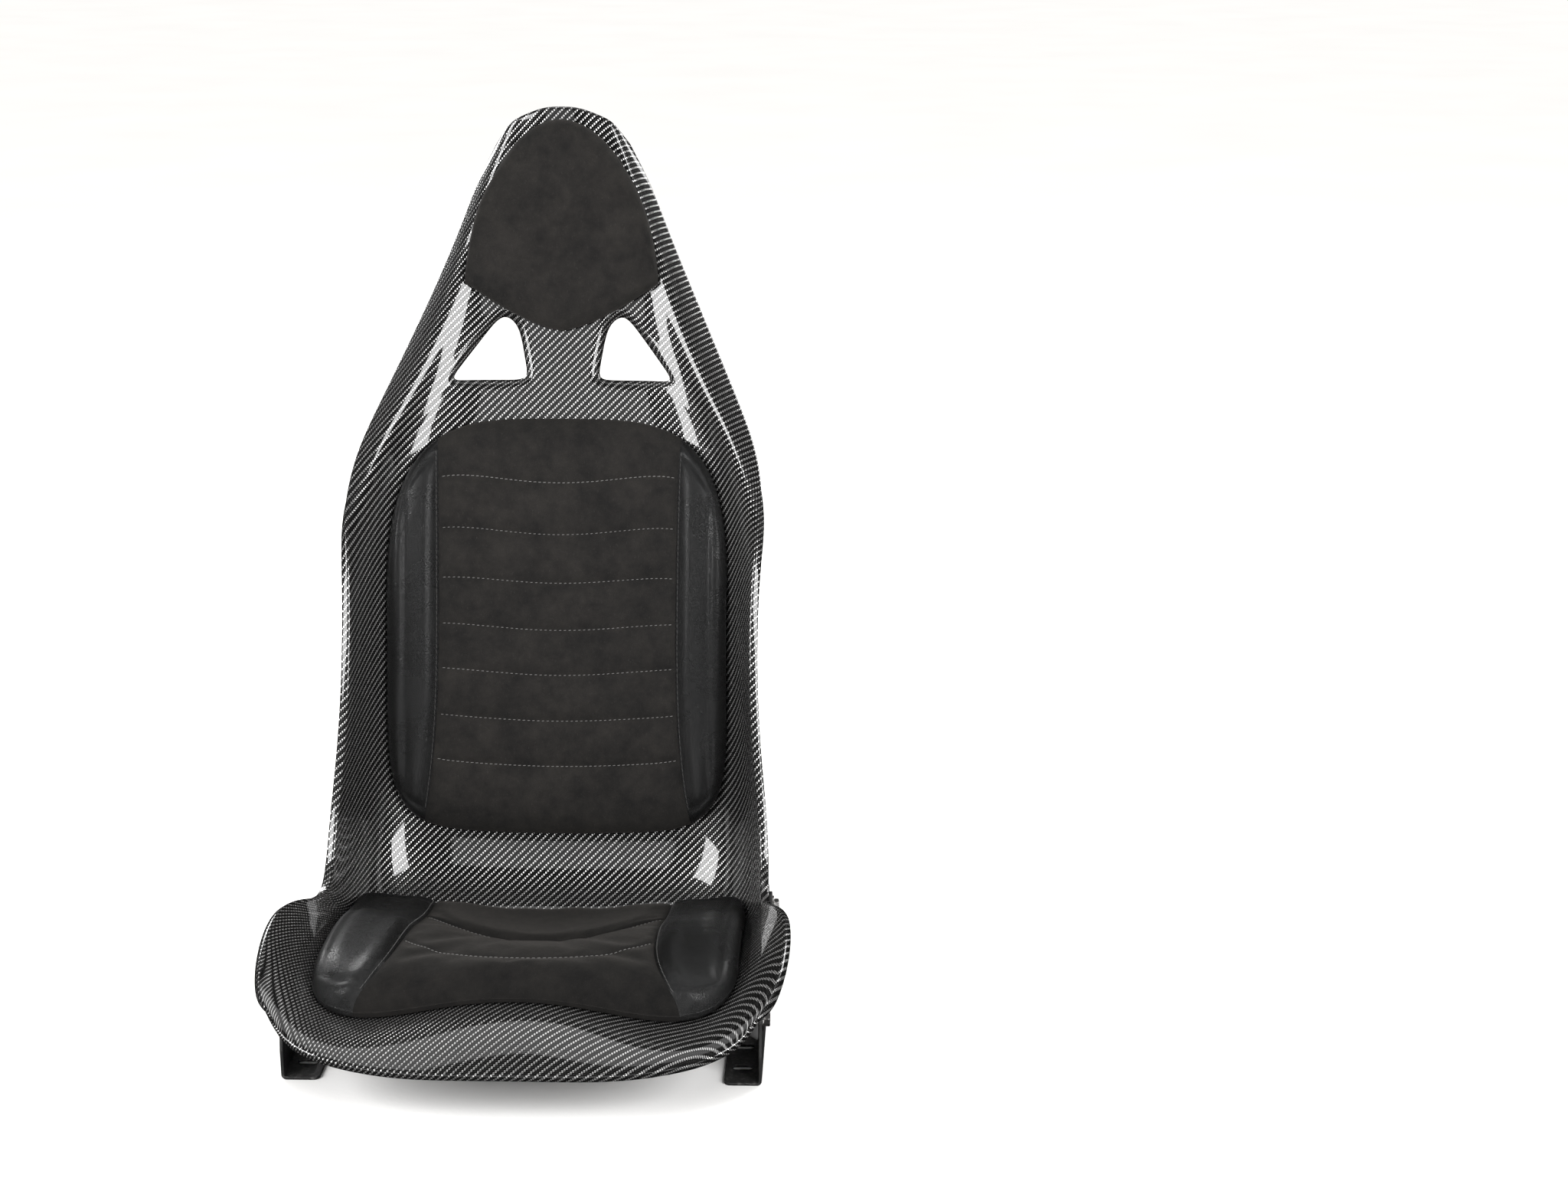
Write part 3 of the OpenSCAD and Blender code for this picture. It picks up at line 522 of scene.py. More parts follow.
def build_shell():
    fu, fv = 8, 12
    us, vs = np.arange(0, NU * fu + 1) / fu, np.arange(-NV * fv, NV * fv + 1) / fv
    nr, nc = len(us), len(vs)
    u, v = np.meshgrid(us, vs, indexing="ij")
    cx, cy = cloth_table(us, vs)

    def cloth(uu, vv):
        x, y = np.clip(uu, 0, NU) * fu, (np.clip(vv, -NV, NV) + NV) * fv
        r, c = np.minimum(x.astype(int), nr - 2), np.minimum(y.astype(int), nc - 2)
        a, b = x - r, y - c
        out = []
        for t in (cx, cy):
            out.append((t[r, c] * (1 - a) * (1 - b) + t[r + 1, c] * a * (1 - b)
                        + t[r, c + 1] * (1 - a) * b + t[r + 1, c + 1] * a * b))
        return np.stack(out, -1)

    points, uvs, faces, which = [], [], [], []
    count = 0

    def add(p, w):
        nonlocal count
        p, w = p.reshape(-1, 3), w.reshape(-1, 2)
        points.append(p)
        uvs.append(w)
        count += len(p)
        return np.arange(count - len(p), count)

    def face(f, mat):
        faces.append(f)
        which.append(np.full(len(f), mat))

    flat_uv = np.stack([cx, cy], -1)
    front = add(lift(u, v, 0 * u), flat_uv)
    back = add(lift(u, v, 0 * u - SHELL_T), flat_uv)
    # the slot takes out a block of cells on each side
    r0, r1 = int(14.5 * fu), int(17.5 * fu)
    c0, c1 = int(round(1 / 3 * fv)), int(round(10 / 3 * fv))
    mid = NV * fv
    rr, cc = np.meshgrid(np.arange(nr - 1), np.arange(nc - 1), indexing="ij")
    hole = (rr >= r0) & (rr < r1) & (((cc - mid >= c0) & (cc - mid < c1))
                                     | ((mid - 1 - cc >= c0) & (mid - 1 - cc < c1)))
    keep = ~hole.ravel()
    face(grid_faces(nr, nc)[keep], 0)
    face(grid_faces(nr, nc, nr * nc)[keep], 1)

    # turned-back rim: a rounded lip, a short straight flange and its inner side
    loop = border(nr, nc)
    lu, lv = u.ravel()[loop], v.ravel()[loop]
    a, b = surface(lu, lv, du=1), surface(lu, lv, dv=1)
    ta, tb = unit(a), unit(b)
    oa = unit(a - (a * tb).sum(-1, keepdims=True) * tb)
    ob = unit(b - (b * ta).sum(-1, keepdims=True) * ta)
    ku = np.where(lu <= 0, -1, np.where(lu >= NU, 1, 0))[:, None]
    kv = np.where(lv >= NV, 1, np.where(lv <= -NV, -1, 0))[:, None]
    out = unit(ku * oa + kv * ob)
    flat_out = unit(np.concatenate([kv, ku], 1).astype(float))
    profile = [(3 * math.sin(t), -3 * (1 - math.cos(t))) for t in np.radians([18, 36, 54, 72, 90])]
    profile += [(3, -6), (3, -8.3), (2.75, -8.85), (2.2, -9), (1.0, -9), (.45, -8.8), (.2, -8.2),
                (.15, -5.6), (0, -4.2)]
    rings, travel, last = [front[loop]], 0.0, (0, 0)
    for o, h in profile:
        travel += math.hypot(o - last[0], h - last[1])
        last = (o, h)
        rings.append(add(lift(lu, lv, 0 * lu + h) + out * o, cloth(lu, lv) + flat_out * travel))
    rings.append(back[loop])
    for k in range(len(rings) - 1):
        face(bridge(rings[k], rings[k + 1]), 0 if k < 12 else 1)

    # slots: the skin rolls back into a collar round each opening
    cells = ([(r0, c) for c in range(c0, c1)] + [(r, c1) for r in range(r0, r1)]
             + [(r1, c) for c in range(c1, c0, -1)] + [(r, c0) for r in range(r1, r0, -1)])
    hr = np.array([c[0] for c in cells])
    hc = np.array([c[1] for c in cells])
    bu, bv = us[hr], hc / fv
    at = surface(bu, bv)
    angle = np.arctan2(at[:, 2] - SLOT[1], at[:, 0] - SLOT[0])
    radius = slot_radius(angle)
    towards = np.stack([np.cos(angle), np.sin(angle)], -1)

    def place(grow):
        r = radius + grow
        return find(SLOT[0] + r * np.cos(angle), SLOT[1] + r * np.sin(angle), 2)

    steps = []
    edge_u, edge_v = place(SLOT_ROLL_REACH)
    for k in (.2, .4, .6, .8, 1.0):
        steps.append((bu * (1 - k) + edge_u * k, bv * (1 - k) + edge_v * k, 0.0, 0.0))
    for t in np.radians([12, 24, 36, 48, 60, 70, 80, 90]):
        gu, gv = place(SLOT_ROLL_REACH * (1 - math.sin(t)))
        steps.append((gu, gv, -SLOT_ROLL * (1 - math.cos(t)), SLOT_ROLL * t * .55))
    gu, gv = place(0)
    for h in (-11.5, -14.4):
        steps.append((gu, gv, h, -h))
    for g, h in ((.5, -SLOT_DEPTH), (2.5, -SLOT_DEPTH), (3, -14.4), (3, -12), (3.2, -9.5),
                 (4.2, -6.6), (6.2, -4.4), (9, -3.3), (12, -3)):
        pu, pv = place(g)
        steps.append((pu, pv, h, 18 - h * .3))
    for k in (.8, .5, .2):
        steps.append((bu * (1 - k) + edge_u * k, bv * (1 - k) + edge_v * k, -SHELL_T, 0.0))
    for mirror in (1, -1):
        start = np.array([r * nc + (mid + c if mirror > 0 else mid - c) for r, c in cells])
        rings = [front[start]]
        for su, sv, h, run in steps:
            p = lift(su, sv, 0 * su + h)
            w = cloth(su, sv) - towards * run
            if mirror < 0:
                p, w = p * [-1, 1, 1], w * [-1, 1]
            rings.append(add(p, w))
        rings.append(back[start])
        for k in range(len(rings) - 1):
            face(bridge(rings[k], rings[k + 1]), 0 if k < 17 else 1)
    ob = make("seat_shell", np.concatenate(points), np.concatenate(faces), [CARBON, CARBON_BACK],
              "seat", uv=np.concatenate(uvs), which=np.concatenate(which))
    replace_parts(ob, "shell")


build_shell()


# ------------------------------------------------------------------ pads
# Per pad: the axis its length runs along, half width, height of the crown, the way it faces and
# how far its points follow that way rather than the shell's own normal.
HEAD, BACK, SEAT = 0, 1, 2
AXIS = (2, 2, 1)
WIDTH = (103, 180, 204)
THICK = (24, 26, 36)
FACE = np.array([[0, -.97, .24], [0, -.96, .28], [0, -.05, 1]])
SHARE = (.3, .55, .85)
EDGE = 1.2
TOPSTITCH = 5.8
LIMIT = 0.9985


def fall(x, p):
    return np.maximum(0, 1 - np.abs(x) ** p) ** (1 / p)


def pad_ends(k, a):
    if k == HEAD:
        return 624 + 50 * np.abs(a) ** 1.5, 674 + 168 * np.maximum(0, 1 - np.abs(a) ** 1.9) ** (1 / 1.6)
    if k == BACK:
        return 322 - 211 * fall(a, 6) + 8 * a * a, 322 + 213 * fall(a, 3.8)
    return -32 - 162 * fall(a, 6), -32 + 156 * fall(a, 7)


def pad_point(k, a, t, h):
    lo, hi = pad_ends(k, a)
    u, v = find(a * WIDTH[k], (lo + hi) / 2 + t * (hi - lo) / 2, AXIS[k])
    way = unit(facing(u, v) * (1 - SHARE[k]) + FACE[k] * SHARE[k])
    return surface(u, v) + way * np.asarray(h, float)[..., None]


def dome(a, t):
    return np.maximum(0, (1 - np.abs(a) ** 9) * (1 - np.abs(t) ** 9)) ** .42


def pad_height(k, a, t):
    if k == SEAT:
        more = .55 * np.sin(PI / 2 * np.minimum(1, np.abs(a) / .8)) ** 2 * (
            1 - .8 * t * t - .55 * np.maximum(0, t))
    elif k == BACK:
        more = .16 * np.sin(PI / 2 * np.minimum(1, np.abs(a) / .85)) ** 4 - .05
    else:
        more = .12 * (.5 - np.abs(a))
    return EDGE + THICK[k] * (1 + more) * dome(a, t)


def seam_at(k, t):
    if k == BACK:
        return .70 + np.where(t < 0, .09 * np.maximum(0, -t) ** 2.4, .02 * t * t)
    return .59 + .02 * ((1 + t) / 2) ** 2 + .16 * ((1 - t) / 2) ** 9


def clustered(n, low=0.0, high=1.0, ease=0.6):
    """n + 1 values from low to high, closer together near both ends."""
    x = np.linspace(0, 1, n + 1)
    x = (1 - ease) * x + ease * (1 - np.cos(PI * x)) / 2
    return low + (high - low) * x


def smoothed(move, held, passes):
    """Evens out how far neighbouring points have moved, leaving the held ones where they are."""
    for count, free in passes:
        free = (free & ~held)[..., None]
        for _ in range(count):
            wide = np.pad(move, ((1, 1), (1, 1), (0, 0)), "edge")
            mean = (wide[:-2, 1:-1] + wide[2:, 1:-1] + wide[1:-1, :-2] + wide[1:-1, 2:]) / 4
            move = np.where(free, mean, move)
    return move


def puff(top, bottom, pinned, pressure, slack, cap, stiffness, calm):
    """Cloth simulation of a closed pad: the stitched lines and the underside hold, the rest swells."""
    nr, nc = top.shape[:2]
    n = nr * nc
    loop = border(nr, nc)
    me = bpy.data.meshes.new("sim")
    points = np.concatenate([top.reshape(-1, 3), bottom.reshape(-1, 3)]) * MM
    faces = np.concatenate([grid_faces(nr, nc), grid_faces(nr, nc, n)[:, ::-1],
                            bridge(loop + n, loop)])
    me.from_pydata(points.tolist(), [], faces.tolist())
    point_outward(me)
    ob = bpy.data.objects.new("sim", me)
    bpy.context.scene.collection.objects.link(ob)
    group = ob.vertex_groups.new(name="pin")
    held = np.concatenate([np.flatnonzero(pinned.ravel()), loop, np.arange(n, 2 * n)])
    group.add([int(i) for i in np.unique(held)], 1.0, "REPLACE")
    cloth_mod = ob.modifiers.new("cloth", "CLOTH")
    c = cloth_mod.settings
    c.vertex_group_mass = "pin"
    c.quality = 5
    c.mass = 0.25
    c.tension_stiffness = c.compression_stiffness = stiffness
    c.shear_stiffness = stiffness / 3
    c.bending_stiffness = 0.4
    c.use_pressure = True
    c.uniform_pressure_force = pressure
    c.shrink_min = -slack
    c.effector_weights.gravity = 0
    cloth_mod.collision_settings.use_collision = False
    cloth_mod.point_cache.frame_start, cloth_mod.point_cache.frame_end = 1, 20
    scene = bpy.context.scene
    for f in range(1, 21):
        scene.frame_set(f)
    moved = ob.evaluated_get(bpy.context.evaluated_depsgraph_get()).to_mesh()
    co = np.empty(2 * n * 3, np.float32)
    moved.vertices.foreach_get("co", co)
    co = co.reshape(-1, 3)[:n].astype(float) / MM
    bpy.data.objects.remove(ob)
    bpy.data.meshes.remove(me)
    scene.frame_set(1)
    move = co.reshape(top.shape) - top
    size = np.linalg.norm(move, axis=-1, keepdims=True)
    move *= np.minimum(1, cap / np.maximum(size, 1e-9))
    rim = np.ones(pinned.shape, bool)
    rim[1:-1, 1:-1] = False
    move = smoothed(move, pinned | rim, ((2, np.ones(pinned.shape, bool)), (40, calm)))
    return top + move


def pieces_of(k, top, a, t, names, mats, body, seams):
    """Cuts the finished top along its seams, and turns every piece's outer edge down and under."""
    nr, nc = top.shape[:2]
    loop = border(nr, nc)
    la, lt = a.ravel()[loop], t.ravel()[loop]
    height = pad_height(k, la, lt)
    points = [top.reshape(-1, 3)]
    rings = [loop]
    count = nr * nc
    for share, inset in ((.72, 0), (.42, .001), (.16, .004), (.02, .012), (0, .03), (0, .075)):
        p = pad_point(k, la * (1 - inset), lt * (1 - inset), EDGE + (height - EDGE) * share
                      - (0.1 if inset > .02 else 0))
        points.append(p)
        rings.append(np.arange(count, count + len(p)))
        count += len(p)
    points = np.concatenate(points)
    column = np.concatenate([np.tile(np.arange(nc), nr)] + [loop % nc] * (len(rings) - 1))
    faces = np.concatenate([grid_faces(nr, nc)] + [bridge(rings[i], rings[i + 1])
                                                   for i in range(len(rings) - 1)])
    centre = (column[faces].min(1) + column[faces].max(1)) / 2
    cuts = [-1] + list(seams) + [nc]
    made = []
    for i, name in enumerate(names):
        own = faces[(centre > cuts[i]) & (centre < cuts[i + 1])]
        used, index = np.unique(own, return_inverse=True)
        ob = make(name, points[used], index.reshape(own.shape), [mats[i]], body,
                  outward=False)
        mesh = ob.data
        mid = mesh.polygons[len(mesh.polygons) // 2]
        if Vector(FACE[k]).dot(mid.normal) < 0:
            mesh.flip_normals()
        ob.modifiers.new("finer", "SUBSURF")
        made.append(ob)
    return made


def stitches(name, lines, body, mat, pitch=5.0, length=3.5, radius=.36, raised=.25,
             shift=0.0):
    """Separate thread stitches along lines of points on the cloth; each line comes with normals."""
    ring = 6
    rows = []
    for x, r in ((-.5, .25), (-.42, .8), (-.2, 1.0), (.2, 1.0), (.42, .8), (.5, .25)):
        ang = np.arange(ring) * 2 * PI / ring
        rows.append(np.stack([np.full(ring, x * length), np.cos(ang) * radius * r,
                              np.sin(ang) * radius * r * .8 + (-.35 * abs(x * 2) ** 3)], 1))
    template = np.concatenate(rows)
    tf = np.array(tube_faces(ring, len(rows)))
    points, faces, count = [], [], 0
    for path, normal in lines:
        seg = np.linalg.norm(np.diff(path, axis=0), axis=1)
        run = np.concatenate([[0], np.cumsum(seg)])
        n = max(1, int(run[-1] // pitch))
        for s in (np.arange(n) + .5 - shift) * run[-1] / n:
            c = np.array([np.interp(s, run, path[:, d]) for d in range(3)])
            b = np.array([np.interp(min(s + 1, run[-1]), run, path[:, d]) for d in range(3)])
            e = np.array([np.interp(max(s - 1, 0), run, path[:, d]) for d in range(3)])
            up = unit(np.array([np.interp(s, run, normal[:, d]) for d in range(3)]))
            fwd = unit(b - e)
            side = unit(np.cross(up, fwd))
            fwd = unit(fwd + side * .10)
            side = np.cross(up, fwd)
            points.append(c + up * raised + template @ np.stack([fwd, side, up]))
            faces.append(tf + count)
            count += len(template)
    make(name, np.concatenate(points), np.concatenate(faces), [mat], body)


def normals_of(p):
    """Normals of a grid of points."""
    return unit(np.cross(np.gradient(p, axis=1), np.gradient(p, axis=0)))


def ripple(a, b, seed):
    """A smooth repeatable waviness from a few sines."""
    rng = np.random.RandomState(seed)
    out = 0
    for f in (3, 5, 8, 13, 21):
        out = out + np.sin(a * f * rng.uniform(.8, 1.2) + b * f * rng.uniform(.6, 1.4)
                           + rng.uniform(0, 6.3)) / f ** .7
    return out / 2.2


def edge_distance(k, a, t):
    """Millimetres along the pad to its nearest edge."""
    lo, hi = pad_ends(k, 0)
    return np.minimum((1 - np.abs(a)) * WIDTH[k], (1 - np.abs(t)) * (hi - lo) / 2)


def bolster(k, a, t, seam_dist):
    """Extra height of the leather sides: a soft crown by the seam and a rolled welt along the edge."""
    edge = edge_distance(k, a, t)
    side = np.clip(seam_dist / 6, 0, 1)
    crown = 3.4 * np.exp(-((seam_dist - 15) / 10) ** 2)
    welt = 1.6 * np.exp(-((edge - 8) / 4.5) ** 2) - 2.4 * np.exp(-((edge - 17) / 5.0) ** 2)
    return side * (crown + welt)


def seam_valley(seam_dist):
    return 3.2 * np.exp(-(np.abs(seam_dist) / 3.2) ** 1.2)


def finish_sewn_pad(k, part, top, a, t, sl, sr, line_rows, skip):
    """Three covers, the quilting stitches and the top stitching beside both seams, with near-black blobs at
    its needle holes as painted shade.
    """
    # the seat's middle cover takes the darker suede, which is painted shade
    made = pieces_of(k, top, a, t, [part + "_left", part + "_centre", part + "_right"],
                     [LEATHER, SHADED_SUEDE if k == SEAT else SUEDE, LEATHER],
                     part, [sl, sr])
    cover = part.replace("_pad", "_cover_")
    for ob, which in zip(made, ("left", "centre", "right")):
        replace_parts(ob, cover + which)
    n = normals_of(top)
    n = n * np.sign((n * FACE[k]).sum(-1, keepdims=True))
    paths = [(top[r, sl + 1:sr], n[r, sl + 1:sr]) for r in line_rows]
    stitches(part + "_stitches", paths, part, THREAD)
    rows = np.arange(skip, len(top) - skip)
    paths = []
    for c, off in ((sl, -1), (sr, 1)):
        near, far = c + off, c + 2 * off
        paths.append((top[rows, near] * .6 + top[rows, far] * .4, n[rows, near]))
    stitches(part + "_topstitch", paths, part, THREAD_GREY, TOPSTITCH, 4.6, .34)
    # painted shade: near-black blobs half sunk between the top stitches, for the shade inside the needle
    # holes
    stitches(part + "_needle_hole_shadows", paths, part, HOLE_SHADE, TOPSTITCH, 1.3, .5, .0, .5)


def rows_through(lines, counts, eases):
    """Row positions from edge to edge, packed towards both edges and every sewn line."""
    stops = [-LIMIT, *lines, LIMIT]
    rows = [clustered(n, lo, hi, ease)[:-1]
            for n, lo, hi, ease in zip(counts, stops[:-1], stops[1:], eases)]
    return np.concatenate(rows + [[LIMIT]])


def sewn_pad(k, part, base, lines, rise, columns, bend, reach, sunk, relief, sim, skip):
    """A pad of three covers: lines across the middle one bow up by rise towards both seams."""
    line_rows = [int(np.argmin(np.abs(base - x))) for x in lines]
    side, centre = columns
    t0 = base[:, None]
    lifted = np.interp(t0, [-LIMIT, *lines, LIMIT], [0, *rise, 0])
    seam = seam_at(k, t0 + lifted)
    left = -LIMIT + (LIMIT - seam) * clustered(side, 0, 1, .5)[None, :-1]
    middle = seam * clustered(centre, -1, 1, .25)[None]
    a = np.concatenate([left, middle, -left[:, ::-1]], 1)
    bow = np.where(np.abs(a) < seam, np.abs(a / seam) ** bend,
                   np.clip((1 - np.abs(a)) / (1 - seam), 0, 1))
    t = np.clip(t0 + lifted * bow, -LIMIT, LIMIT)
    sl, sr = side, side + centre
    # distances in mm, from the seam and from the nearest sewn line
    seam_dist = (np.abs(a) - seam) * WIDTH[k]
    dist = np.min([np.abs(t0 - x) * reach for x in lines], 0) + 0 * a
    inside = np.clip(-seam_dist / 3, 0, 1)
    shaped = seam_valley(seam_dist) - bolster(k, a, t, seam_dist) + relief(a, t, seam, dist, inside)
    h = pad_height(k, a, t) - (sunk + shaped) * dome(a, t)
    top = pad_point(k, a, t, np.maximum(h, EDGE + .3))
    bottom = pad_point(k, a * .99, t * .99, 0 * a + EDGE)
    pinned = np.zeros(a.shape, bool)
    pinned[:, [sl, sr]] = True
    for r in line_rows:
        pinned[r, sl:sr + 1] = True
    top = puff(top, bottom, pinned, *sim, seam_dist > 0)
    finish_sewn_pad(k, part, top, a, t, sl, sr, line_rows, skip)


def build_back_pad():
    """Seven quilted lines across the middle panel."""
    lines = (-.665, -.445, -.225, -.010, .215, .445, .690)
    rise = (.025, .035, .05, .06, .065, .085, .10)
    base = rows_through(lines, [20] + [12] * 6 + [18], [.75] + [.55] * 6 + [.75])

    def relief(a, t, seam, dist, inside):
        quilt = 3.0 * np.exp(-(dist / 5.0) ** 1.3) * inside
        return quilt + .35 * np.exp(-(dist / 9) ** 2) * ripple(a * 9, t * 3, 4) * inside
    sewn_pad(BACK, "back_pad", base, lines, rise, (20, 60), 2, 212, 2.6, relief, (4.0, .008, 5, 18), 6)


def build_seat_pad():
    """Two sewn lines across the middle panel, both sagging towards the front in their middle."""
    lines = (-.72, .06)
    base = rows_through(lines, (30, 30, 36), (.6, .5, .7))

    def relief(a, t, seam, dist, inside):
        quilt = 1.6 * np.exp(-(dist / 4.5) ** 1.3) * inside
        # pulled folds fanning out from the seams in front
        fan = np.exp(-((t + .52) / .26) ** 2) * np.clip(1 - np.abs(np.abs(a) / seam - .74) / .30, 0, 1)
        waves = np.sin((t * 22 + (np.abs(a) - .5) * 10) + .9 * ripple(a * 3, t * 2, 8))
        return quilt - 1.2 * fan * inside * waves
    sewn_pad(SEAT, "seat_pad", base, lines, (.38, .42), (24, 64), 2.2, 156, 3.0, relief,
             (4.0, .012, 6, 15), 5)


def build_head_pad():
    base = clustered(70, -LIMIT, LIMIT, .85)
    across = clustered(66, -LIMIT, LIMIT, .85)
    t, a = np.meshgrid(base, across, indexing="ij")
    h = pad_height(HEAD, a, t) - 2.5 * dome(a, t) + .25 * ripple(a * 2, t * 2, 2) * dome(a, t)
    top = pad_point(HEAD, a, t, np.maximum(h, EDGE + .3))
    bottom = pad_point(HEAD, a * .99, t * .99, 0 * a + EDGE)
    top = puff(top, bottom, np.zeros(a.shape, bool), 4.0, .005, 5, 25, a > -2)
    obs = pieces_of(HEAD, top, a, t, ["head_pad_cover"], [SUEDE], "head_pad", [])
    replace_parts(obs[0], "head_cover")


def plate_piece(name, k, a0, a1, t0, t1, h0, h1, mat, body, slot, node, na=24, nt=10, corner=0.2):
    """A thin sheet that follows the shell, with rounded corners and a soft edge."""
    parts, faces, count = [], [], 0
    for q in range(len(a0)):
        sa, st = clustered(na, -1, 1, .5), clustered(nt, -1, 1, .6)
        gt, ga = np.meshgrid(st, sa, indexing="ij")
        squeeze_a = np.sqrt(1 - corner * gt ** 8)
        squeeze_t = np.sqrt(1 - corner * ga ** 8)
        ca, ct = (a0[q] + a1[q]) / 2, (t0[q] + t1[q]) / 2
        ra, rt = (a1[q] - a0[q]) / 2, (t1[q] - t0[q]) / 2
        pa, pt = ca + ga * ra * squeeze_a, ct + gt * rt * squeeze_t
        rim = np.maximum(np.abs(ga), np.abs(gt)) ** 30 * .3
        top = pad_point(k, pa, pt, h1 - rim * (h1 - h0))
        low = pad_point(k, pa, pt, h0 + rim * (h1 - h0))
        n = top.shape[0] * top.shape[1]
        loop = border(*top.shape[:2])
        parts += [top.reshape(-1, 3), low.reshape(-1, 3)]
        faces += [grid_faces(*top.shape[:2], count), grid_faces(*top.shape[:2], count + n),
                  bridge(loop + count, loop + count + n)]
        count += 2 * n
    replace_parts(make(name, np.concatenate(parts), np.concatenate(faces), [mat], body), node)


TAPES = (((-.55, .55, .25, .5), (-.55, .55, -.6, -.35)),
         ((-.6, .6, .62, .76), (-.6, .6, -.07, .07), (-.6, .6, -.76, -.62)),
         ((-.6, .6, .4, .56), (-.6, .6, -.5, -.34)))


def build_pad_insides():
    for k, part, inner in ((HEAD, "head", .88), (BACK, "back", .92), (SEAT, "seat", .92)):
        q = np.array(TAPES[k]).T
        plate_piece(part + "_hooks", k, *q, .9, 2.3, HOOKS, "seat", "tape", "hook_strips_" + part)
        plate_piece(part + "_loops", k, *q, 2.65, 4.05, LOOPS, part + "_pad", "tape",
                    part + "_loop_strips")
        plate_piece(part + "_backing", k, [-inner], [inner], [-inner], [inner], 4.8, 6.25, BOARD,
                    part + "_pad", "board", part + "_board", 40, 40, .1)
        f = .88 if k == HEAD else .95
        g = np.linspace(-1, 1, 41)
        t, a = np.meshgrid(g * f, g * f, indexing="ij")
        h = np.maximum(9.4, pad_height(k, a / .975, t / .975) - 7.5)
        top = pad_point(k, a, t, h)
        low = pad_point(k, a, t, 0 * h + 8.9)
        n, loop = top.shape[0] * top.shape[1], border(*top.shape[:2])
        ob = make(part + "_foam_core", np.concatenate([top.reshape(-1, 3), low.reshape(-1, 3)]),
                  np.concatenate([grid_faces(41, 41), grid_faces(41, 41, n), bridge(loop, loop + n)]),
                  [FOAM], part + "_pad")
        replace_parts(ob, part + "_foam")


build_head_pad()
build_back_pad()
build_seat_pad()
build_pad_insides()


# ------------------------------------------------------------------ brackets and fasteners
BRACKET_X, PLATE_T, FOOT_W, BEND_R, HALF_L = 228.0, 3.0, 36.0, 5.0, 170.0
FRONT, REAR = (-150.0, 60.0), (130.0, 51.0)
BEND_FROM = FOOT_W - BEND_R
BEND_TO = BEND_FROM + (BEND_R - PLATE_T / 2) * PI / 2
RECLINE = 3.5
BOLT_HOLE_R, REAR_SLOT_R = 4.08, 4.4
WASHER_X, WASHER_T = BRACKET_X + 0.3, 1.6
BLOCK_X = BRACKET_X - PLATE_T - 0.4
COLLAR_L = 14.0


def rounded(points, radii):
    """A polygon with its corners rounded."""
    out, n = [], len(points)
    for i, p in enumerate(points):
        p, r = np.array(p, float), radii[i]
        if r <= 0:
            out.append(p)
            continue
        a, b = np.array(points[i - 1], float) - p, np.array(points[(i + 1) % n], float) - p
        la, lb = np.linalg.norm(a), np.linalg.norm(b)
        a, b = a / la, b / lb
        half = math.acos(np.clip(a @ b, -1, 1)) / 2
        reach = min(r / math.tan(half), la * .45, lb * .45)
        r = reach * math.tan(half)
        centre = p + unit(a + b) * r / math.sin(half)
        start, end = p + a * reach - centre, p + b * reach - centre
        s0, s1 = math.atan2(start[1], start[0]), math.atan2(end[1], end[0])
        turn = (s1 - s0 + PI) % (2 * PI) - PI
        out += [centre + r * np.array([math.cos(s0 + turn * k), math.sin(s0 + turn * k)])
                for k in np.linspace(0, 1, 7)]
    return out


def arc(centre, r, start, end, n=24):
    return [(centre[0] + r * math.cos(x), centre[1] + r * math.sin(x))
            for x in np.radians(np.linspace(start, end, n))]


def bracket_blank():
    """The flat sheet before bending: along the seat, and across it from the foot's inner edge up."""
    def up(points):
        return [(y, z - BEND_R + BEND_TO) for y, z in points]
    side = [(HALF_L, 30), (154, 43)] + arc(REAR, 15, -20, 180) + [(96, 38), (-78, 38)] \
        + arc(FRONT, 15, 20, 185) + [(-HALF_L, 30)]
    outline = [(-HALF_L, 0), (HALF_L, 0)] + up(side)
    radii = [6, 6, 5, 3] + [0] * 24 + [12, 20] + [0] * 24 + [5]
    holes = []
    for y in (-138, -95, 95, 138):
        holes.append(arc((y, 22), 4.5, 0, 180, 16) + arc((y, 11), 4.5, 180, 360, 16))
    for y in (-58, 14):
        holes.append(up(arc((y + 19, 21), 7, -90, 90, 16) + arc((y - 19, 21), 7, 90, 270, 16)))
    holes.append(up(arc(FRONT, BOLT_HOLE_R, 0, 351, 40)))
    swing = math.hypot(REAR[0] - FRONT[0], REAR[1] - FRONT[1])
    a1 = math.degrees(math.atan2(REAR[1] - FRONT[1], REAR[0] - FRONT[0]))
    a0 = a1 - RECLINE
    ends = [(FRONT[0] + swing * math.cos(math.radians(x)), FRONT[1] + swing * math.sin(math.radians(x)))
            for x in (a0, a1)]
    r = REAR_SLOT_R
    holes.append(up(arc(FRONT, swing + r, a0, a1, 10)[1:-1] + arc(ends[1], r, a1, a1 + 180, 14)
                    + arc(FRONT, swing - r, a1, a0, 10)[1:-1] + arc(ends[0], r, a0 + 180, a0 + 360, 14)))
    return [rounded(outline, radii)] + holes


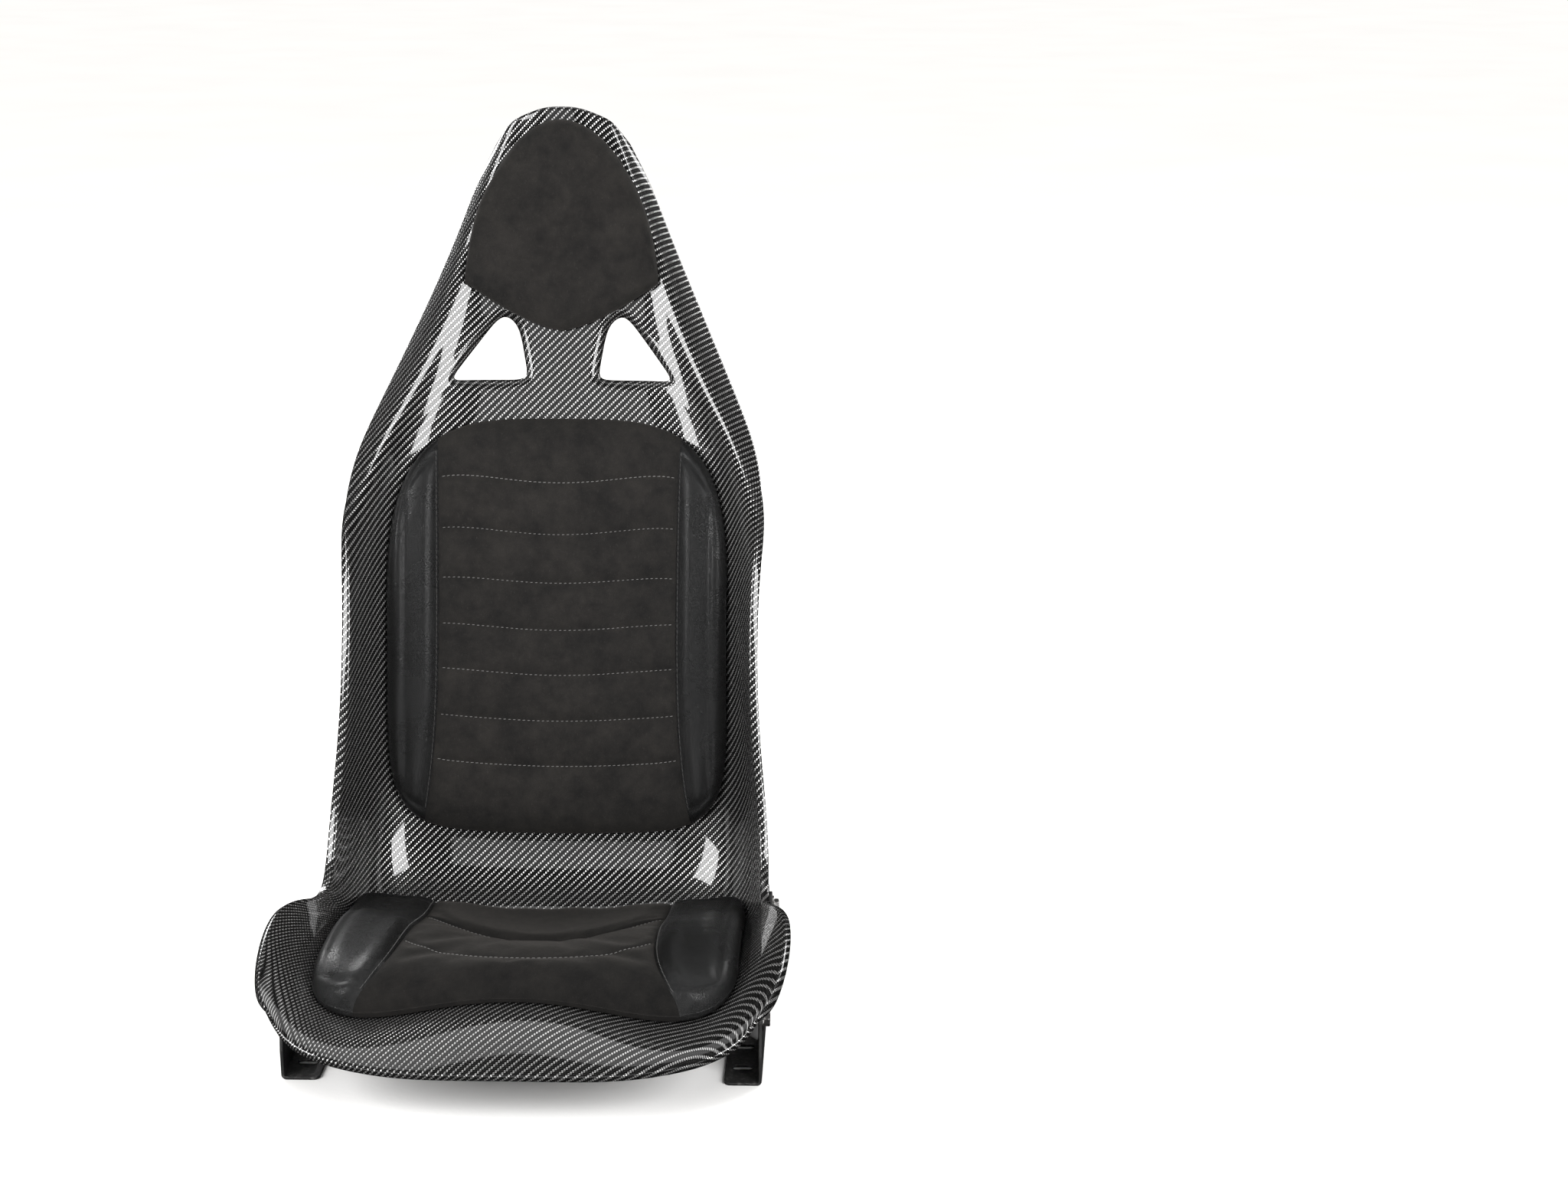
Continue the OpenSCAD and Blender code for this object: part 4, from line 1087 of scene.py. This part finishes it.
def build_bracket(side):
    name = "bracket_right" if side > 0 else "bracket_left"
    bevel = 0.45
    data = bpy.data.curves.new("blank", "CURVE")
    data.dimensions, data.fill_mode = "2D", "BOTH"
    data.extrude = (PLATE_T / 2 - bevel) * MM
    data.bevel_depth, data.bevel_resolution, data.offset = bevel * MM, 2, -bevel * MM
    for points in bracket_blank():
        s = data.splines.new("POLY")
        s.points.add(len(points) - 1)
        s.points.foreach_set("co", [x for p in points for x in (p[0] * MM, p[1] * MM, 0, 1)])
        s.use_cyclic_u = True
    flat = bpy.data.objects.new("blank", data)
    bpy.context.scene.collection.objects.link(flat)
    me = bpy.data.meshes.new_from_object(flat.evaluated_get(bpy.context.evaluated_depsgraph_get()))
    bpy.data.objects.remove(flat)
    bm = bmesh.new()
    bm.from_mesh(me)
    bmesh.ops.remove_doubles(bm, verts=bm.verts, dist=1e-6)
    for w in np.linspace(BEND_FROM, BEND_TO, 9):
        bmesh.ops.bisect_plane(bm, geom=bm.verts[:] + bm.edges[:] + bm.faces[:], dist=1e-7,
                               plane_co=(0, w * MM, 0), plane_no=(0, 1, 0))
    mid_r = BEND_R - PLATE_T / 2
    points = []
    for v in bm.verts:
        y, w, n = (c / MM for c in v.co)
        if w <= BEND_FROM:
            x, z = BRACKET_X - FOOT_W + w, PLATE_T / 2 - n
        else:
            turn = min(1, (w - BEND_FROM) / (BEND_TO - BEND_FROM)) * PI / 2
            x = BRACKET_X - BEND_R + (mid_r + n) * math.sin(turn)
            z = BEND_R - (mid_r + n) * math.cos(turn) + max(0, w - BEND_TO)
        points.append((side * x, y, z))
    faces = [[v.index for v in f.verts] for f in bm.faces]
    bm.free()
    ob = make(name, points, faces, [POWDER], "brackets")
    crease_over(ob, 35)
    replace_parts(ob, "right_bracket" if side > 0 else "left_bracket")


def lathe(profile, n, radius_at=None):
    """Rings round the X axis from (x, r) pairs; radius_at may make a ring many-sided."""
    ang = np.arange(n) * 2 * PI / n
    points = []
    for x, r in profile:
        rr = np.full(n, float(r)) if radius_at is None else np.minimum(r, radius_at(ang))
        points.append(np.stack([np.full(n, float(x)), rr * np.cos(ang), rr * np.sin(ang)], 1))
    return np.concatenate(points), tube_faces(n, len(profile))


def join(parts):
    points, faces, count = [], [], 0
    for p, f in parts:
        points.append(p)
        faces += [[int(i) + count for i in q] for q in f]
        count += len(p)
    return np.concatenate(points), faces


def build_fasteners():
    def hexagon(a):
        return 6.5 / np.cos((a + PI / 6) % (PI / 3) - PI / 6)
    seat_x = WASHER_X + WASHER_T
    head, hf = lathe([(seat_x, 4.0), (seat_x, 6.1), (seat_x + .35, 6.3), (seat_x + .4, 6.9),
                      (seat_x + .8, 7.6), (seat_x + 4.4, 7.6), (seat_x + 4.75, 7.15),
                      (seat_x + 5.1, 6.6), (seat_x + 5.3, 6.1), (seat_x + 5.3, 5.0),
                      (seat_x + 5.1, 4.7), (seat_x + 4.75, 4.5), (seat_x + 4.6, 4.1)], 96, hexagon)
    hf = hf + [list(range(12 * 96, 13 * 96))]
    thread_rows, x = [(seat_x, 4.0), (seat_x - 3.6, 4.0)], seat_x - 3.7
    while x > BRACKET_X - PLATE_T - 9.4:
        thread_rows += [(x, 3.95), (x - .35, 3.55), (x - .7, 3.55), (x - 1.05, 3.95)]
        x -= 1.25
    thread_rows += [(x - .3, 3.3)]
    shank, sf = lathe(thread_rows, 48)
    sf = sf + [list(range((len(thread_rows) - 1) * 48, len(thread_rows) * 48))]
    bolt, bf = join([(head, hf), (shank, sf)])
    w0 = WASHER_X
    ring = [(w0 + .15, 10.5), (w0 + 1.35, 10.5), (w0 + 1.6, 10.25), (w0 + 1.6, 4.35), (w0 + 1.45, 4.1),
            (w0 + .15, 4.1), (w0, 4.35), (w0, 10.25), (w0 + .15, 10.5)]
    washer, wf = lathe(ring, 72)
    for which, (y, z) in (("front", FRONT), ("rear", REAR)):
        turn = math.radians(11 if which == "front" else 38)
        rot = np.array([[1, 0, 0], [0, math.cos(turn), -math.sin(turn)],
                        [0, math.sin(turn), math.cos(turn)]])
        for kind, p, f in (("bolts", bolt, bf), ("washers", washer, wf)):
            q = p @ rot.T + [0, y, z]
            points, faces = join([(q, f), (q * [-1, 1, 1], f)])
            ob = make(which + "_" + kind + "_m8", points, faces, [ZINC], "seat")
            crease_over(ob, 30)
            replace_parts(ob, which + "_" + kind)
    c0 = BLOCK_X
    sleeve, cf = lathe([(c0 - COLLAR_L, 0.01), (c0 - COLLAR_L, 9), (c0 - .4, 9), (c0, 8.6), (c0, 4.5),
                        (c0 - .45, 4.05), (c0 - 12, 4.05), (c0 - 12, .01)], 64)
    points, faces = join([((sleeve + [0, y, z]) * [m, 1, 1], cf)
                          for y, z in (FRONT, REAR) for m in (1, -1)])
    ob = make("bonded_collars", points, faces, [ZINC], "seat")
    crease_over(ob, 30)
    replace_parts(ob, "threaded_collars")


def build_mount_pads():
    """Blocks bonded between the shell and the side plates, flared where they meet the shell."""
    face_x, n = BLOCK_X, 64
    ang = np.arange(n) * 2 * PI / n
    ca, sa = np.cos(ang), np.sin(ang)
    soft = (np.abs(ca) ** 5 + np.abs(sa) ** 5) ** (-1 / 5)
    parts = []
    for (y, z), (u0, u1, v0, v1), (hy, hz0, hz1) in (
            (FRONT, (3.1, 4.1, 2.9, 4.1), (19, 16, 30)), (REAR, (6.8, 7.7, 2.9, 4.1), (20, 15, 19))):
        pu = (u0 + u1) / 2 + (u1 - u0) / 2 * soft * ca
        pv = (v0 + v1) / 2 + (v1 - v0) / 2 * soft * sa
        low = lift(pu, pv, 0 * pu - SHELL_T - 0.5)
        hz = (hz0 + hz1) / 2
        ring = np.stack([np.full(n, face_x), y + hy * soft * ca,
                         z - hz0 + hz + hz * soft * sa], 1)
        mid = (low.mean(0), ring.mean(0))
        # the bonded face follows the shell all the way in, so that it never shows inside the seat
        rows = [lift((u0 + u1) / 2 * (1 - q) + pu * q, (v0 + v1) / 2 * (1 - q) + pv * q,
                     0 * pu - SHELL_T - 0.5) for q in (.04, .2, .4, .6, .8)]
        for k in (0, .06, .14, .26, .45, .7, .9):
            squeeze = 1 - .10 * math.sin(PI * min(1, k * 1.25)) ** .7
            centre = mid[0] * (1 - k) + mid[1] * k
            rows.append(centre + (low * (1 - k) + ring * k - centre) * squeeze)
        for out, dx in ((1.0, -1.6), (.985, -.5), (.955, -.1), (.91, 0)):
            rows.append((ring - mid[1]) * out + mid[1] + [dx, 0, 0])
        hole = np.stack([np.full(n, face_x), y + 9.05 * ca, z + 9.05 * sa], 1)
        rows += [hole * .55 + rows[-1] * .45, hole, hole - [COLLAR_L + .2, 0, 0]]
        faces = tube_faces(n, len(rows)) + [list(range(n))]
        for m in (1, -1):
            parts.append((np.concatenate(rows) * [m, 1, 1], faces))
    points, faces = join(parts)
    ob = make("bonded_blocks", points, faces, [RESIN], "seat")
    crease_over(ob, 50)
    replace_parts(ob, "mount_pads")


for side in (1, -1):
    build_bracket(side)
build_fasteners()
build_mount_pads()


# ------------------------------------------------------------------ floor, lights, camera
# Metres and watts.
FLOOR_REACH = 40.0
MIDDLE = (0, 0.1, 0.5)


def stage():
    reach = FLOOR_REACH / MM
    points = [[x, y, 0] for x, y in ((-reach, -reach), (reach, -reach), (reach, reach), (-reach, reach))]
    ob = make("floor", points, [[0, 1, 2, 3]], [floor_paint("floor_paint")], None, outward=False)
    ob.visible_glossy = False


def softbox(name, at, aim, size, power):
    data = bpy.data.lights.new(name, "AREA")
    data.shape = "RECTANGLE"
    data.size, data.size_y = size
    data.energy = power
    ob = bpy.data.objects.new(name, data)
    ob.location = at
    ob.rotation_euler = (Vector(aim) - Vector(at)).to_track_quat("-Z", "Y").to_euler()
    ob.visible_camera = False
    bpy.context.scene.collection.objects.link(ob)


stage()
softbox("left_key", (-1.75, -1.35, 1.35), MIDDLE, (1.0, 1.3), 50)
softbox("right_key", (1.70, -1.6, 1.25), MIDDLE, (1.1, 1.3), 54)
softbox("front_fill", (-0.4, -2.5, 1.5), MIDDLE, (1.0, 0.9), 2.6)
softbox("low_strip", (0.0, -1.9, 0.12), (0, -0.2, 0.1), (2.2, 0.15), 8)
softbox("overhead", (-0.1, 0.5, 3.0), (0, 0.3, 0.0), (2.4, 1.6), 18)
softbox("left_rear", (-1.6, 2.1, 1.5), MIDDLE, (0.7, 1.5), 30)
softbox("right_rear", (1.9, 1.7, 1.6), MIDDLE, (0.7, 1.5), 26)

# the white surroundings light matt surfaces evenly; the glossy ones mirror only the softboxes
world = bpy.data.worlds.new("studio")
scene = bpy.context.scene
scene.world = world
world.use_nodes = True
background = world.node_tree.nodes["Background"]
background.inputs["Color"].default_value = (1.0, 0.99, 0.975, 1)
background.inputs["Strength"].default_value = 1.04
world.cycles_visibility.glossy = False
scene.view_settings.view_transform = "Standard"
scene.view_settings.look = "None"

lens = bpy.data.cameras.new("camera")
lens.sensor_width = 36
lens.lens = 58.0
lens.clip_start, lens.clip_end = 0.05, 60
camera = bpy.data.objects.new("camera", lens)
camera.location = (0.3087, -2.3116, 1.1441)
camera.rotation_euler = (math.radians(73), 0, math.radians(1.6))
scene.collection.objects.link(camera)
scene.camera = camera
